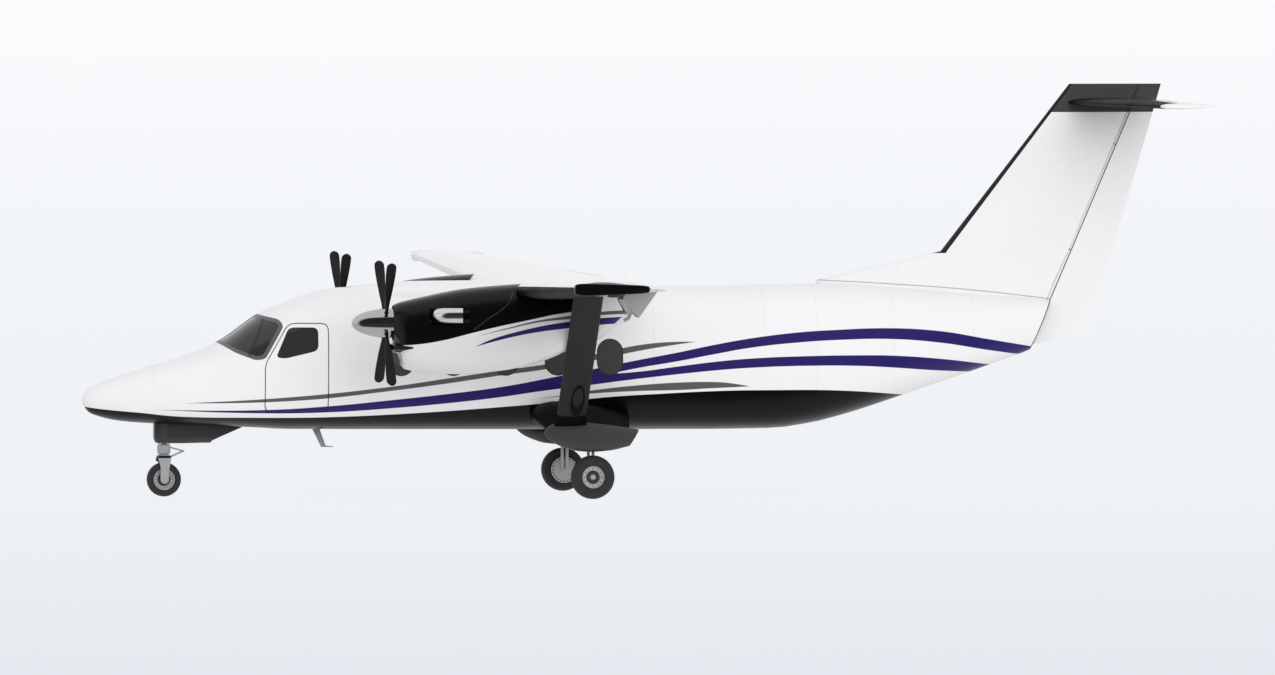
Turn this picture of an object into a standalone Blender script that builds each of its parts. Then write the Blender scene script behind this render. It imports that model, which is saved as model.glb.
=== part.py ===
"""High-wing, strut-braced twin turboprop airliner, parked on its fixed gear.

Metres, +Z up, ground at z = 0. The nose points to -X and the left wing to -Y.
Stations are metres aft of the nose tip; at() turns a station into world X.
"""

import math

import bmesh
import bpy
from mathutils import Matrix, Vector

# Driving dimensions
LENGTH = 16.80
NOSE_X = -LENGTH / 2
HALF_SPAN = 11.01
FIN_TOP = 6.23
GAP = 0.0003
CONTROL_GAP = 0.012
SKIN_STEP = 0.003
EDGE_HALF = 0.004
SURFACE_SEAM = 0.008
SIDES = (("left", -1), ("right", 1))

# Fuselage sections: station, top, bottom, half width, upper and lower roundness
FUSELAGE = (
    (0.000, 1.485, 1.445, 0.020, 2.0, 2.0),
    (0.030, 1.556, 1.372, 0.105, 2.0, 2.0),
    (0.120, 1.656, 1.272, 0.215, 2.0, 2.0),
    (0.260, 1.728, 1.218, 0.310, 2.1, 2.1),
    (0.560, 1.832, 1.152, 0.455, 2.2, 2.3),
    (0.930, 1.954, 1.119, 0.580, 2.3, 2.5),
    (1.490, 2.113, 1.094, 0.735, 2.4, 2.8),
    (1.950, 2.285, 1.076, 0.825, 2.4, 2.9),
    (2.210, 2.440, 1.066, 0.870, 2.4, 3.0),
    (2.640, 2.744, 1.046, 0.930, 2.4, 3.1),
    (3.100, 2.950, 1.022, 0.975, 2.5, 3.2),
    (3.630, 3.118, 1.018, 1.010, 2.6, 3.3),
    (3.950, 3.165, 1.016, 1.022, 2.7, 3.4),
    (4.600, 3.172, 1.014, 1.030, 2.8, 3.4),
    (9.450, 3.172, 1.000, 1.030, 2.8, 3.4),
    (10.500, 3.190, 1.012, 1.025, 2.8, 3.2),
    (11.100, 3.202, 1.092, 1.005, 2.7, 3.0),
    (11.620, 3.195, 1.219, 0.955, 2.6, 2.8),
    (12.500, 3.135, 1.499, 0.815, 2.5, 2.5),
    (13.380, 3.060, 1.794, 0.620, 2.4, 2.3),
    (14.100, 3.005, 2.045, 0.430, 2.3, 2.2),
    (14.570, 2.968, 2.211, 0.285, 2.2, 2.1),
    (14.900, 2.940, 2.330, 0.180, 2.1, 2.0),
)
FUSELAGE_POINTS = 32
COCKPIT_START = 1.95
COCKPIT_END = 3.95
TAIL_START = 11.10
DOOR_THICKNESS = 0.030
SKIN_THICKNESS = 0.055
FLOOR_HEIGHT = 1.25

# Side outlines of the cockpit's openings: station, height
WINDSHIELD = (
    (1.985, 2.370), (2.265, 2.194), (2.560, 2.083), (2.700, 2.105), (2.990, 2.600),
    (2.930, 2.700), (2.700, 2.752), (2.600, 2.800), (2.200, 2.620), (1.950, 2.450),
)
DOOR = ((2.690, 1.290), (3.660, 1.290), (3.660, 2.648), (3.057, 2.648), (2.690, 2.030))
DOOR_WINDOW = ((2.860, 2.130), (3.000, 2.110), (3.500, 2.230), (3.500, 2.580), (3.060, 2.580))
# Side outlines of a crew seat and the instrument panel: station, height
SEAT = (
    (2.820, FLOOR_HEIGHT + GAP), (3.220, FLOOR_HEIGHT + GAP), (3.220, 1.500), (3.420, 2.340),
    (3.320, 2.380), (3.160, 1.740), (2.720, 1.700), (2.720, 1.580), (2.820, 1.560),
)
PANEL = (
    (2.120, FLOOR_HEIGHT + GAP), (2.300, FLOOR_HEIGHT + GAP), (2.420, 1.980), (2.360, 2.050),
    (2.120, 2.050),
)
DOOR_SEAM = 0.010
DOOR_LIP = 0.030
DOOR_HINGE = (2.670, 0.952)

# Wing
WING_LE = 6.22
WING_TIP_LE = 6.25
ROOT_CHORD = 2.20
TIP_CHORD = 1.12
KINK = 4.20
WING_HEIGHT = 3.10
DIHEDRAL = math.tan(math.radians(1.5))
ROOT_THICKNESS = 0.33
TIP_THICKNESS = 0.175
CAMBER = 0.02
# Squared tip cap: distance out at which it starts, front and back station, half height
CAP_START = 10.93
CAP_FRONT = 6.248
CAP_BACK = 7.379
CAP_HALF = 0.092
CAP_SQUARENESS = 6.0
HINGE_FRACTION = 0.72
FLAP_INNER = (1.10, 4.12)
FLAP_OUTER = (4.28, 6.70)
AILERON = (6.80, 10.35)
FLAP_PIVOT = (7.870, 2.710)
FLAP_ARM = (FLAP_PIVOT, (7.965, 2.765), (8.000, 2.860))

# Nacelles
NACELLE_Y = 3.16
HUB_HEIGHT = 2.70
PROP_STATION = 4.28
PROP_RADIUS = 1.300
# station, top, bottom, half width, roundness
NACELLE = (
    (4.400, 2.970, 2.400, 0.290, 2.1),
    (4.450, 3.000, 2.160, 0.350, 2.3),
    (4.520, 3.022, 2.035, 0.395, 2.4),
    (4.870, 3.100, 1.955, 0.460, 2.5),
    (5.400, 3.204, 1.927, 0.500, 2.6),
    (5.980, 3.262, 1.972, 0.500, 2.6),
    (6.370, 3.285, 2.040, 0.490, 2.6),
    (6.730, 3.290, 2.145, 0.450, 2.4),
    (7.020, 3.290, 2.270, 0.420, 2.3),
    (7.530, 3.290, 2.462, 0.380, 2.3),
    (7.980, 3.290, 2.840, 0.350, 2.2),
)
# Side outline of what is cut away behind the nacelle's pointed end: station, height
NACELLE_END = (
    (7.530, 2.462), (7.200, 2.165), (7.600, 2.000), (8.300, 2.300),
    (8.300, 3.600), (7.600, 3.600), (7.735, 3.090), (7.897, 2.784),
)
EXHAUST_HEIGHT = 2.816
EXHAUST_OFFSET = 0.47
EXHAUST_RADIUS = 0.123
ENGINE_BORE = 0.250
ENGINE_RADIUS = 0.230
ENGINE_END = 6.10

# Landing gear
MAIN_STATION = 7.562
MAIN_Y = 1.960
MAIN_RADIUS = 0.330
MAIN_RIM = 0.170
MAIN_WIDTH = 0.250
AXLE_RADIUS = 0.032
NOSE_STATION = 1.247
NOSE_RADIUS = 0.260
CROWN_HALF = 0.095
NOSE_RIM = 0.163
NOSE_WIDTH = 0.180
NOSE_AXLE_RADIUS = 0.022
OLEO_RADIUS = 0.088
WHEEL_STEPS = 24

# Tail
HINGE_FOOT = (14.500, 2.250)
HINGE_HEAD = (16.207, 6.230)
RUDDER_TE_FOOT = (15.390, 2.447)
RUDDER_TE_HEAD = (16.500, 6.230)
STAB_HEIGHT = 5.95
STAB_HALF = 4.00
STAB_TE = 16.80
ELEVATOR_HINGE = 16.24
ELEVATOR_SPAN = (0.32, 3.86)
# leading edge station, height, thickness
FIN = (
    (11.55, 2.90, 0.235),
    (11.19, 3.25, 0.235),
    (13.12, 3.69, 0.225),
    (15.09, FIN_TOP, 0.150),
)
# distance from the centre, leading edge station, thickness
STABILIZER = (
    (-STAB_HALF, 15.980, 0.055),
    (-3.90, 15.955, 0.088),
    (0.00, 15.050, 0.125),
    (3.90, 15.955, 0.088),
    (STAB_HALF, 15.980, 0.055),
)


def at(station, lateral, height):
    """World point of a station, a lateral distance (right positive) and a height."""
    return Vector((NOSE_X + station, lateral, height))


for old in list(bpy.data.objects):
    bpy.data.objects.remove(old, do_unlink=True)

PARTS = bpy.data.collections.new("turboprop_airliner")
CUTTERS = bpy.data.collections.new("cutters")
bpy.context.scene.collection.children.link(PARTS)
bpy.context.scene.collection.children.link(CUTTERS)


# Materials
def paint(name, colour, roughness, metallic=0.0):
    """A Principled material with one colour."""
    material = bpy.data.materials.new(name)
    material.use_nodes = True
    shader = material.node_tree.nodes["Principled BSDF"]
    shader.inputs["Base Color"].default_value = (*colour, 1.0)
    shader.inputs["Roughness"].default_value = roughness
    shader.inputs["Metallic"].default_value = metallic
    return material


WHITE = paint("white_paint", (0.80, 0.81, 0.83), 0.25)
BLACK = paint("black_paint", (0.012, 0.012, 0.013), 0.35)
GREY = paint("dark_grey_paint", (0.045, 0.046, 0.050), 0.40)
LIGHT_GREY = paint("light_grey_enamel", (0.42, 0.43, 0.44), 0.40)
CHROME = paint("polished_metal", (0.62, 0.62, 0.63), 0.10, 1.0)
STEEL = paint("engine_steel", (0.35, 0.34, 0.33), 0.40, 1.0)
ALLOY = paint("wheel_alloy", (0.55, 0.56, 0.57), 0.35, 0.8)
RUBBER = paint("tyre_rubber", (0.020, 0.020, 0.021), 0.80)
GLASS = paint("tinted_glass", (0.030, 0.032, 0.035), 0.08)
LEATHER = paint("seat_leather", (0.10, 0.09, 0.085), 0.60)
PLASTIC = paint("panel_plastic", (0.030, 0.030, 0.032), 0.55)


# Building blocks
def pivot(name, point, parent=None):
    """An empty on a joint's axis; the pieces that move with it are its children."""
    empty = bpy.data.objects.new(name, None)
    PARTS.objects.link(empty)
    empty.parent = parent
    empty.location = point - world_location(parent)
    return empty


def world_location(obj):
    """World location of an object whose parents are only moved, not turned."""
    place = Vector((0.0, 0.0, 0.0))
    while obj is not None:
        place += obj.location
        obj = obj.parent
    return place


def add(name, bm, material=None, parent=None, smooth=30.0):
    """Stores a world-space bmesh as a part, or as a cutter when it has no material."""
    bmesh.ops.recalc_face_normals(bm, faces=bm.faces)
    if bm.calc_volume(signed=True) < 0:
        bmesh.ops.reverse_faces(bm, faces=bm.faces)
    mesh = bpy.data.meshes.new(name)
    bm.to_mesh(mesh)
    bm.free()
    obj = bpy.data.objects.new(name, mesh)
    if material is None:
        CUTTERS.objects.link(obj)
        obj.hide_render = True
        obj.display_type = "WIRE"
        return obj
    PARTS.objects.link(obj)
    mesh.materials.append(material)
    mesh.shade_smooth()
    mesh.set_sharp_from_angle(angle=math.radians(smooth))
    if parent is not None:
        mesh.transform(Matrix.Translation(-world_location(parent)))
        obj.parent = parent
    return obj


def boolean(obj, other, operation="DIFFERENCE"):
    """Adds an exact Boolean modifier to an object."""
    modifier = obj.modifiers.new(f"{operation.lower()}_{other.name}", "BOOLEAN")
    modifier.operation = operation
    modifier.object = other
    return obj


def loft(bm, rings):
    """Skins a closed body through rings of equal length, with flat ends.

    The sides are triangles, so that a body and the cutter made from it fold alike.
    """
    rows = [[bm.verts.new(point) for point in ring] for ring in rings]
    count = len(rows[0])
    for near, far in zip(rows, rows[1:]):
        for i in range(count):
            j = (i + 1) % count
            bm.faces.new((near[i], near[j], far[j]))
            bm.faces.new((near[i], far[j], far[i]))
    bm.faces.new(rows[0])
    bm.faces.new(rows[-1])
    return bm


def lofted(rings):
    """A new bmesh that holds one loft."""
    return loft(bmesh.new(), rings)


def prism(outline, left, right):
    """A side outline (station, height) extruded across from one lateral to the other."""
    rings = [[at(s, y, z) for s, z in outline] for y in (left, right)]
    return lofted(rings)


def slab(outline, low, high):
    """A plan outline (station, lateral) extruded from a low to a high level."""
    rings = [[at(s, y, z) for s, y in outline] for z in (low, high)]
    return lofted(rings)


def box(low, high):
    """A box between two corners, each a (station, lateral, height)."""
    bm = bmesh.new()
    bmesh.ops.create_cube(bm, size=1.0)
    size = Vector(high) - Vector(low)
    middle = (at(*low) + at(*high)) / 2
    for vertex in bm.verts:
        vertex.co = Vector(a * b for a, b in zip(vertex.co, size)) + middle
    return bm


def rod(start, end, radius, segments=16, end_radius=None):
    """A cylinder or cone between two world points."""
    bm = bmesh.new()
    axis = end - start
    bmesh.ops.create_cone(
        bm,
        cap_ends=True,
        segments=segments,
        radius1=radius,
        radius2=radius if end_radius is None else end_radius,
        depth=axis.length,
    )
    turn = Vector((0.0, 0.0, 1.0)).rotation_difference(axis.normalized()).to_matrix()
    for vertex in bm.verts:
        vertex.co = turn @ vertex.co + (start + end) / 2
    return bm


def spindle(start, end, radius, reach, tip=0.002, segments=12):
    """A pin along an axis that runs past both ends to small blunt points."""
    axis = end - start
    turn = Vector((0.0, 0.0, 1.0)).rotation_difference(axis.normalized()).to_matrix()
    rings = []
    for height, size in (
        (-reach, tip), (0.0, radius), (axis.length, radius), (axis.length + reach, tip)
    ):
        circle = arc((0.0, 0.0), size, 0, 360, segments)[:-1]
        rings.append([start + turn @ Vector((u, v, height)) for u, v in circle])
    return lofted(rings)


def lathe(name, profile, centre, axis, material, parent=None, steps=32, closed=False):
    """A turned piece: profile points (radius, height along the axis) run down the outer side."""
    bm = bmesh.new()
    points = [bm.verts.new((r, 0.0, z)) for r, z in profile]
    for a, b in zip(points, points[1:]):
        bm.edges.new((a, b))
    if closed:
        bm.edges.new((points[-1], points[0]))
    mesh = bpy.data.meshes.new(name)
    bm.to_mesh(mesh)
    bm.free()
    obj = bpy.data.objects.new(name, mesh)
    if material is None:
        CUTTERS.objects.link(obj)
        obj.hide_render = True
        obj.display_type = "WIRE"
    else:
        PARTS.objects.link(obj)
        mesh.materials.append(material)
    obj.rotation_mode = "QUATERNION"
    obj.rotation_quaternion = Vector((0.0, 0.0, 1.0)).rotation_difference(Vector(axis))
    obj.parent = parent
    obj.location = centre - world_location(parent)
    screw = obj.modifiers.new("turn", "SCREW")
    screw.steps = steps
    screw.render_steps = steps
    screw.use_merge_vertices = True
    screw.merge_threshold = 0.0001
    screw.use_smooth_shade = True
    return obj


def arc(centre, radius, start, end, steps):
    """Points on an arc in a plane, angles in degrees."""
    angles = [math.radians(start + (end - start) * i / steps) for i in range(steps + 1)]
    return [(centre[0] + radius * math.cos(a), centre[1] + radius * math.sin(a)) for a in angles]


def inset(outline, distance):
    """A convex outline moved inwards by a distance, or outwards by a negative one."""
    count = len(outline)
    area = sum(
        outline[i][0] * outline[(i + 1) % count][1] - outline[(i + 1) % count][0] * outline[i][1]
        for i in range(count)
    )
    side = 1.0 if area > 0 else -1.0
    lines = []
    for i in range(count):
        a = Vector(outline[i])
        b = Vector(outline[(i + 1) % count])
        along = (b - a).normalized()
        normal = Vector((-along.y, along.x)) * side
        lines.append((a + normal * distance, along))
    moved = []
    for i in range(count):
        (p, u), (q, v) = lines[i - 1], lines[i]
        t = (q - p).cross(v) / u.cross(v)
        moved.append(tuple(p + u * t))
    return moved


def rounded(outline, radius, steps=2):
    """A convex outline with each corner turned into a small curve."""
    smooth = []
    count = len(outline)
    for i in range(count):
        before, corner, after = (Vector(outline[(i + k) % count]) for k in (-1, 0, 1))
        reach = min(radius, (before - corner).length * 0.45, (after - corner).length * 0.45)
        start = corner + (before - corner).normalized() * reach
        end = corner + (after - corner).normalized() * reach
        for k in range(steps + 1):
            t = k / steps
            smooth.append(tuple(start * (1 - t) ** 2 + corner * 2 * t * (1 - t) + end * t * t))
    return smooth


def link_plate(start, end, radius, left, right, steps=8):
    """A stadium-shaped plate between two (station, height) points."""
    a, b = Vector(start), Vector(end)
    heading = math.degrees(math.atan2((b - a).y, (b - a).x))
    outline = arc(b, radius, heading - 90, heading + 90, steps)
    outline += arc(a, radius, heading + 90, heading + 270, steps)
    return prism(outline, left, right)


def superellipse(station, lateral, top, bottom, half_width, upper, lower, count):
    """A ring across the X axis; a roundness of 2 is an ellipse, more is squarer."""
    middle, half_height = (top + bottom) / 2, (top - bottom) / 2
    ring = []
    for i in range(count):
        angle = 2 * math.pi * i / count
        c, s = math.cos(angle), math.sin(angle)
        power = 2 / (upper if s >= 0 else lower)
        y = half_width * math.copysign(abs(c) ** power, c)
        z = half_height * math.copysign(abs(s) ** power, s)
        ring.append(at(station, lateral + y, middle + z))
    return ring


def table_row(table, station):
    """A table's row at any station, between its rows in a straight line."""
    for low, high in zip(table, table[1:]):
        if station <= high[0]:
            t = (station - low[0]) / (high[0] - low[0])
            return [a + (b - a) * t for a, b in zip(low, high)]
    return list(table[-1])


def fuselage_loft(start, end, shrink=0.0, floor=None):
    """The fuselage between two stations, shrunk all round, with a flat floor if one is given."""
    stations = [start] + [row[0] for row in FUSELAGE if start < row[0] < end] + [end]
    rings = []
    for station in stations:
        _, top, bottom, half_width, upper, lower = table_row(FUSELAGE, station)
        ring = superellipse(
            station,
            0.0,
            top - shrink,
            bottom + shrink,
            half_width - shrink,
            upper,
            lower,
            FUSELAGE_POINTS,
        )
        if floor is not None:
            ring = [Vector((p.x, p.y, max(p.z, floor))) for p in ring]
        rings.append(ring)
    return lofted(rings)


def wing_row(y):
    """Leading edge, height, chord and thickness of the wing at a distance from the centre."""
    reach = abs(y)
    outboard = max(0.0, (reach - KINK) / (HALF_SPAN - KINK))
    leading = WING_LE + (WING_TIP_LE - WING_LE) * reach / HALF_SPAN
    chord = ROOT_CHORD + (TIP_CHORD - ROOT_CHORD) * outboard
    thickness = ROOT_THICKNESS + (TIP_THICKNESS - ROOT_THICKNESS) * outboard
    return leading, WING_HEIGHT + DIHEDRAL * reach, chord, thickness


def half_thickness(x, thickness):
    """Half thickness of a four-digit airfoil at a fraction of its chord."""
    return 5 * thickness * (
        0.2969 * math.sqrt(x) - 0.1260 * x - 0.3516 * x * x + 0.2843 * x ** 3 - 0.0960 * x ** 4
    )


def airfoil(chord, thickness, camber, count=9):
    """Airfoil points (distance aft, height) from the upper trailing edge round the nose."""
    fractions = [(1 - math.cos(math.pi * i / count)) / 2 for i in range(count + 1)]
    bow = [4 * camber * chord * x * (1 - x) for x in fractions]
    half = [max(half_thickness(x, thickness), EDGE_HALF) for x in fractions]
    upper = [(x * chord, b + h) for x, b, h in zip(fractions, bow, half)]
    lower = [(x * chord, b - h) for x, b, h in zip(fractions, bow, half)]
    return upper[:0:-1] + [(0.0, 0.0)] + lower[1:]


def wing_ring(side, y, grow=0.0):
    """The wing's ring at a distance from the centre."""
    leading, height, chord, thickness = wing_row(y)
    points = airfoil(chord, thickness, CAMBER)
    spread = 1 + 2 * grow / thickness
    middle = chord / 2
    stretch = 1 + 2 * grow / chord
    return [
        at(leading + middle + (x - middle) * stretch, side * y, height + z * spread) for x, z in points
    ]


def wing_loft(side, stations, grow=0.0):
    """The wing's body through several distances from the centre."""
    return lofted([wing_ring(side, y, grow) for y in stations])


def wing_hinge(y):
    """Hinge point (station, height), nose radius and trailing edge of a wing surface."""
    leading, height, chord, thickness = wing_row(y)
    x = HINGE_FRACTION
    bow = 4 * CAMBER * chord * x * (1 - x)
    radius = half_thickness(x, thickness) - CONTROL_GAP - SKIN_STEP
    return (leading + x * chord, height + bow), radius, (leading + chord, height)


def surface_ring(hinge, tail, radius, thin=EDGE_HALF, steps=6):
    """A control surface's section in a plane: a round nose at the hinge and a thin tail."""
    ring = [(tail[0], tail[1] + thin)]
    ring += arc(hinge, radius, 90, 270, steps)
    ring.append((tail[0], tail[1] - thin))
    return ring


def cove_ring(hinge, tail_x, radius, height, steps=6):
    """The section of the space that a control surface needs."""
    ring = [(tail_x, hinge[1] + height), (hinge[0], hinge[1] + height)]
    ring += arc(hinge, radius, 90, 270, steps)
    ring += [(hinge[0], hinge[1] - height), (tail_x, hinge[1] - height)]
    return ring


# Fuselage
def build_fuselage():
    """Nose, hollow cockpit, cabin and tail, with the doors, panes and furniture."""
    add("nose_section", fuselage_loft(0.0, COCKPIT_START - GAP), WHITE)

    skin = add("skin_form", fuselage_loft(COCKPIT_START - 0.1, COCKPIT_END + 0.1))
    lining = add("lining_form", fuselage_loft(COCKPIT_START - 0.1, COCKPIT_END + 0.1, DOOR_THICKNESS))
    room = add(
        "room_form",
        fuselage_loft(COCKPIT_START - 0.1, COCKPIT_END + 0.1, SKIN_THICKNESS, FLOOR_HEIGHT),
    )
    backing = add(
        "backing_form",
        fuselage_loft(COCKPIT_START - 0.1, COCKPIT_END + 0.1, DOOR_THICKNESS - GAP),
    )

    cockpit = add("cockpit_section", fuselage_loft(COCKPIT_START, COCKPIT_END - GAP), WHITE)
    boolean(cockpit, room)
    door_outline = rounded(DOOR, 0.12)
    for name, outline, lip in (
        ("windshield", rounded(WINDSHIELD, 0.05, 1), inset(WINDSHIELD, DOOR_LIP)),
        ("door", door_outline, inset(DOOR, DOOR_LIP)),
    ):
        recess = add(f"{name}_recess", prism(outline, -1.5, 1.5))
        boolean(recess, lining)
        boolean(cockpit, recess)
        boolean(cockpit, add(f"{name}_opening", prism(rounded(lip, 0.09, 1), -1.5, 1.5)))

    pane = add("windshield", prism(rounded(inset(WINDSHIELD, GAP), 0.05, 1), -1.5, 1.5), GLASS)
    boolean(pane, skin, "INTERSECT")
    boolean(pane, backing)

    for side_name, side in SIDES:
        hinge = pivot(f"crew_door_{side_name}_axis", at(DOOR_HINGE[0], side * DOOR_HINGE[1], 1.66))
        span = sorted((side * 0.3, side * 1.5))
        door = add(
            f"crew_door_{side_name}",
            prism(rounded(inset(DOOR, DOOR_SEAM), 0.11), *span),
            WHITE,
            hinge,
        )
        boolean(door, skin, "INTERSECT")
        boolean(door, backing)
        boolean(door, add(f"door_window_{side_name}_cut", prism(rounded(DOOR_WINDOW, 0.09), *span)))
        glass = add(
            f"door_glass_{side_name}",
            prism(rounded(inset(DOOR_WINDOW, GAP), 0.09), *span),
            GLASS,
            hinge,
        )
        boolean(glass, skin, "INTERSECT")
        boolean(glass, backing)

        seat_y = side * 0.38
        seat = add(
            f"crew_seat_{side_name}",
            prism(
                SEAT,
                seat_y - 0.22,
                seat_y + 0.22,
            ),
            LEATHER,
        )
        round_edges(seat, 0.02)

    add("instrument_panel", prism(PANEL, -0.50, 0.50), PLASTIC)

    cabin = add("cabin_section", fuselage_loft(COCKPIT_END, TAIL_START - GAP), WHITE)
    boolean(cabin, add("wing_seat", wing_loft(1, (-1.3, 0.0, 1.3), GAP)))
    add("tail_section", fuselage_loft(TAIL_START, FUSELAGE[-1][0]), WHITE)


def round_edges(obj, width, segments=1):
    """Adds a small bevel."""
    modifier = obj.modifiers.new("edges", "BEVEL")
    modifier.width = width
    modifier.segments = segments
    modifier.limit_method = "ANGLE"


def build_fairing():
    """The raised fairing on the roof in front of the wing."""
    rows = (
        # station, top, half width
        (4.05, 3.175, 0.45),
        (4.50, 3.225, 0.62),
        (5.20, 3.255, 0.74),
        (6.215, 3.262, 0.80),
    )
    rings = [superellipse(s, 0.0, top, 2.75, half, 3.5, 3.5, 24) for s, top, half in rows]
    fairing = add("wing_fairing", lofted(rings), WHITE)
    boolean(fairing, add("roof_form", fuselage_loft(COCKPIT_END, 9.45, -GAP)))
    boolean(fairing, add("fairing_wing_seat", wing_loft(1, (-1.3, 0.0, 1.3), GAP)))


build_fuselage()
build_fairing()


# Wing
def control_surface(name, side, span, rows, material, parent, pins=True):
    """A flap, aileron or elevator between two distances, with a hinge pin at each end."""
    inner, outer = span[0] + SURFACE_SEAM, span[1] - SURFACE_SEAM
    rings = []
    for y in (inner, outer):
        hinge, radius, tail = rows(y)
        rings.append([at(s, side * y, z) for s, z in surface_ring(hinge, tail, radius)])
    surface = add(name, lofted(rings), material, parent)
    if pins:
        ends = [at(rows(y)[0][0], side * y, rows(y)[0][1]) for y in (inner, outer)]
        pin = add(f"{name}_pin_form", spindle(ends[0], ends[1], 0.018, SURFACE_SEAM - GAP))
        boolean(surface, pin, "UNION")
    return surface


def cove(name, side, span, rows, height=0.30):
    """The cutter that makes room for a control surface."""
    rings = []
    for y in span:
        hinge, radius, tail = rows(y)
        ring = cove_ring(hinge, tail[0] + 0.3, radius + CONTROL_GAP, height)
        rings.append([at(s, side * y, z) for s, z in ring])
    return add(name, lofted(rings))


def build_wing():
    """Centre section, outer panels, flaps and ailerons."""
    edge = KINK - GAP
    centre = add("wing_center", wing_loft(1, (-edge, -1.06, 0.0, 1.06, edge)), WHITE)
    for side_name, side in SIDES:
        rings = [wing_ring(side, y) for y in (KINK, 6.75, 10.40, 10.86)]
        rings += [cap_ring(side, CAP_START, 1.0), cap_ring(side, HALF_SPAN, 0.96)]
        panel = add(f"wing_panel_{side_name}", lofted(rings), WHITE)
        boolean(centre, cove(f"flap_inner_{side_name}_cove", side, FLAP_INNER, wing_hinge))
        for name, span in (("flap_outer", FLAP_OUTER), ("aileron", AILERON)):
            boolean(panel, cove(f"{name}_{side_name}_cove", side, span, wing_hinge))
            middle = sum(span) / 2
            hinge, _, _ = wing_hinge(middle)
            axis = pivot(f"{name}_{side_name}_axis", at(hinge[0], side * middle, hinge[1]))
            control_surface(f"{name}_{side_name}", side, span, wing_hinge, WHITE, axis)

        place = at(FLAP_PIVOT[0], side * NACELLE_Y, FLAP_PIVOT[1])
        axis = pivot(f"flap_inner_{side_name}_axis", place)
        control_surface(f"flap_inner_{side_name}", side, FLAP_INNER, wing_hinge, WHITE, axis, False)
        build_nacelle_tail(side_name, side, axis)


def cap_ring(side, y, share):
    """The tip cap's section, squarer than the airfoil's and with as many points."""
    _, height, _, _ = wing_row(y)
    middle, reach = (CAP_FRONT + CAP_BACK) / 2, (CAP_BACK - CAP_FRONT) / 2
    ring = []
    for x, z in airfoil(1.0, 1.0, 0.0):
        bulge = max(0.5, (1 - abs(2 * x - 1) ** CAP_SQUARENESS) ** (1 / CAP_SQUARENESS))
        lift = math.copysign(CAP_HALF * bulge, z) if x > 0 else 0.0
        ring.append(at(middle + (2 * x - 1) * reach * share, side * y, height + lift * share))
    return ring


def build_nacelle_tail(side_name, side, axis):
    """The wedge under the inner flap that ends the nacelle; it swings with the flap."""
    hinge, radius, tail = wing_hinge(NACELLE_Y)

    def under(station):
        """A level just inside the flap's lower face."""
        t = (station - hinge[0]) / (tail[0] - hinge[0])
        return hinge[1] - radius + (tail[1] - hinge[1] + radius) * t + 0.006

    front, back = 7.765, tail[0]
    outline = (
        (front, 3.050), (7.913, 2.820), (8.028, 2.840), (8.097, 2.772),
        (back - 0.02, under(back - 0.02)), (7.870, under(7.870)), (7.845, 3.060),
    )
    half = 0.36
    bm = prism(outline, side * (NACELLE_Y - half), side * (NACELLE_Y + half))
    for vertex in bm.verts:
        t = (vertex.co.x - NOSE_X - front) / (back - front)
        offset = vertex.co.y - side * NACELLE_Y
        vertex.co.y = side * NACELLE_Y + offset * (1 - 0.72 * t)
    wedge = add(f"nacelle_tail_{side_name}", bm, WHITE, axis)
    half_arm = 0.01
    sides = sorted((side * (NACELLE_Y - half_arm), side * (NACELLE_Y + half_arm)))
    for start, end in zip(FLAP_ARM, FLAP_ARM[1:]):
        arm = link_plate(start, end, 0.025, *sides)
        boolean(wedge, add(f"flap_arm_{side_name}_{start[0]}", arm), "UNION")
    rings = []
    for y in (NACELLE_Y - 0.6, NACELLE_Y + 0.6):
        h, r, t = wing_hinge(y)
        rings.append([at(s, side * y, z) for s, z in surface_ring(h, t, r + GAP, EDGE_HALF + GAP)])
    boolean(wedge, add(f"flap_seat_{side_name}", lofted(rings)))


build_wing()


# Nacelles, engines and propellers
def build_nacelle(side_name, side):
    """Cowl with its engine bay, chin intake, exhaust recesses and flap hinge lugs."""
    y = side * NACELLE_Y
    rings = [superellipse(s, y, top, bottom, half, n, n, 24) for s, top, bottom, half, n in NACELLE]
    nacelle = add(f"nacelle_{side_name}", lofted(rings), WHITE)
    boolean(nacelle, add(f"nacelle_wing_seat_{side_name}", wing_loft(side, (2.4, 3.9), GAP)))
    # The end is cut to a point behind, with the wedge of the flap above it
    end = prism(NACELLE_END, y - 0.7, y + 0.7)
    boolean(nacelle, add(f"nacelle_end_{side_name}", end))
    bore = rod(at(4.2, y, HUB_HEIGHT), at(ENGINE_END + GAP, y, HUB_HEIGHT), ENGINE_BORE, 16)
    boolean(nacelle, add(f"engine_bay_{side_name}", bore))
    mouth = rounded(((-0.17, 2.085), (0.17, 2.085), (0.20, 2.26), (-0.20, 2.26)), 0.06, 2)
    intake = lofted([[at(s, y + w, z) for w, z in mouth] for s in (4.30, 4.72)])
    boolean(nacelle, add(f"chin_intake_{side_name}", intake))
    for flank in (-1, 1):
        duct = y + flank * EXHAUST_OFFSET
        front, back = at(4.90, duct, EXHAUST_HEIGHT), at(5.62, duct + flank * 0.10, EXHAUST_HEIGHT)
        recess = rod(front, back, EXHAUST_RADIUS + 0.022, 14)
        boolean(nacelle, add(f"exhaust_recess_{side_name}_{flank}", recess))
        passage = rod(at(5.09, y, 2.76), at(5.09, duct, EXHAUST_HEIGHT), 0.115, 10)
        boolean(nacelle, add(f"exhaust_passage_{side_name}_{flank}", passage))
    for offset in (-0.0203, 0.0203):
        low, high = sorted((y + offset - 0.01, y + offset + 0.01))
        lug = link_plate(FLAP_PIVOT, (7.78, 2.80), 0.030, low, high)
        boolean(nacelle, add(f"flap_lug_{side_name}_{offset}", lug), "UNION")
    return nacelle


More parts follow.
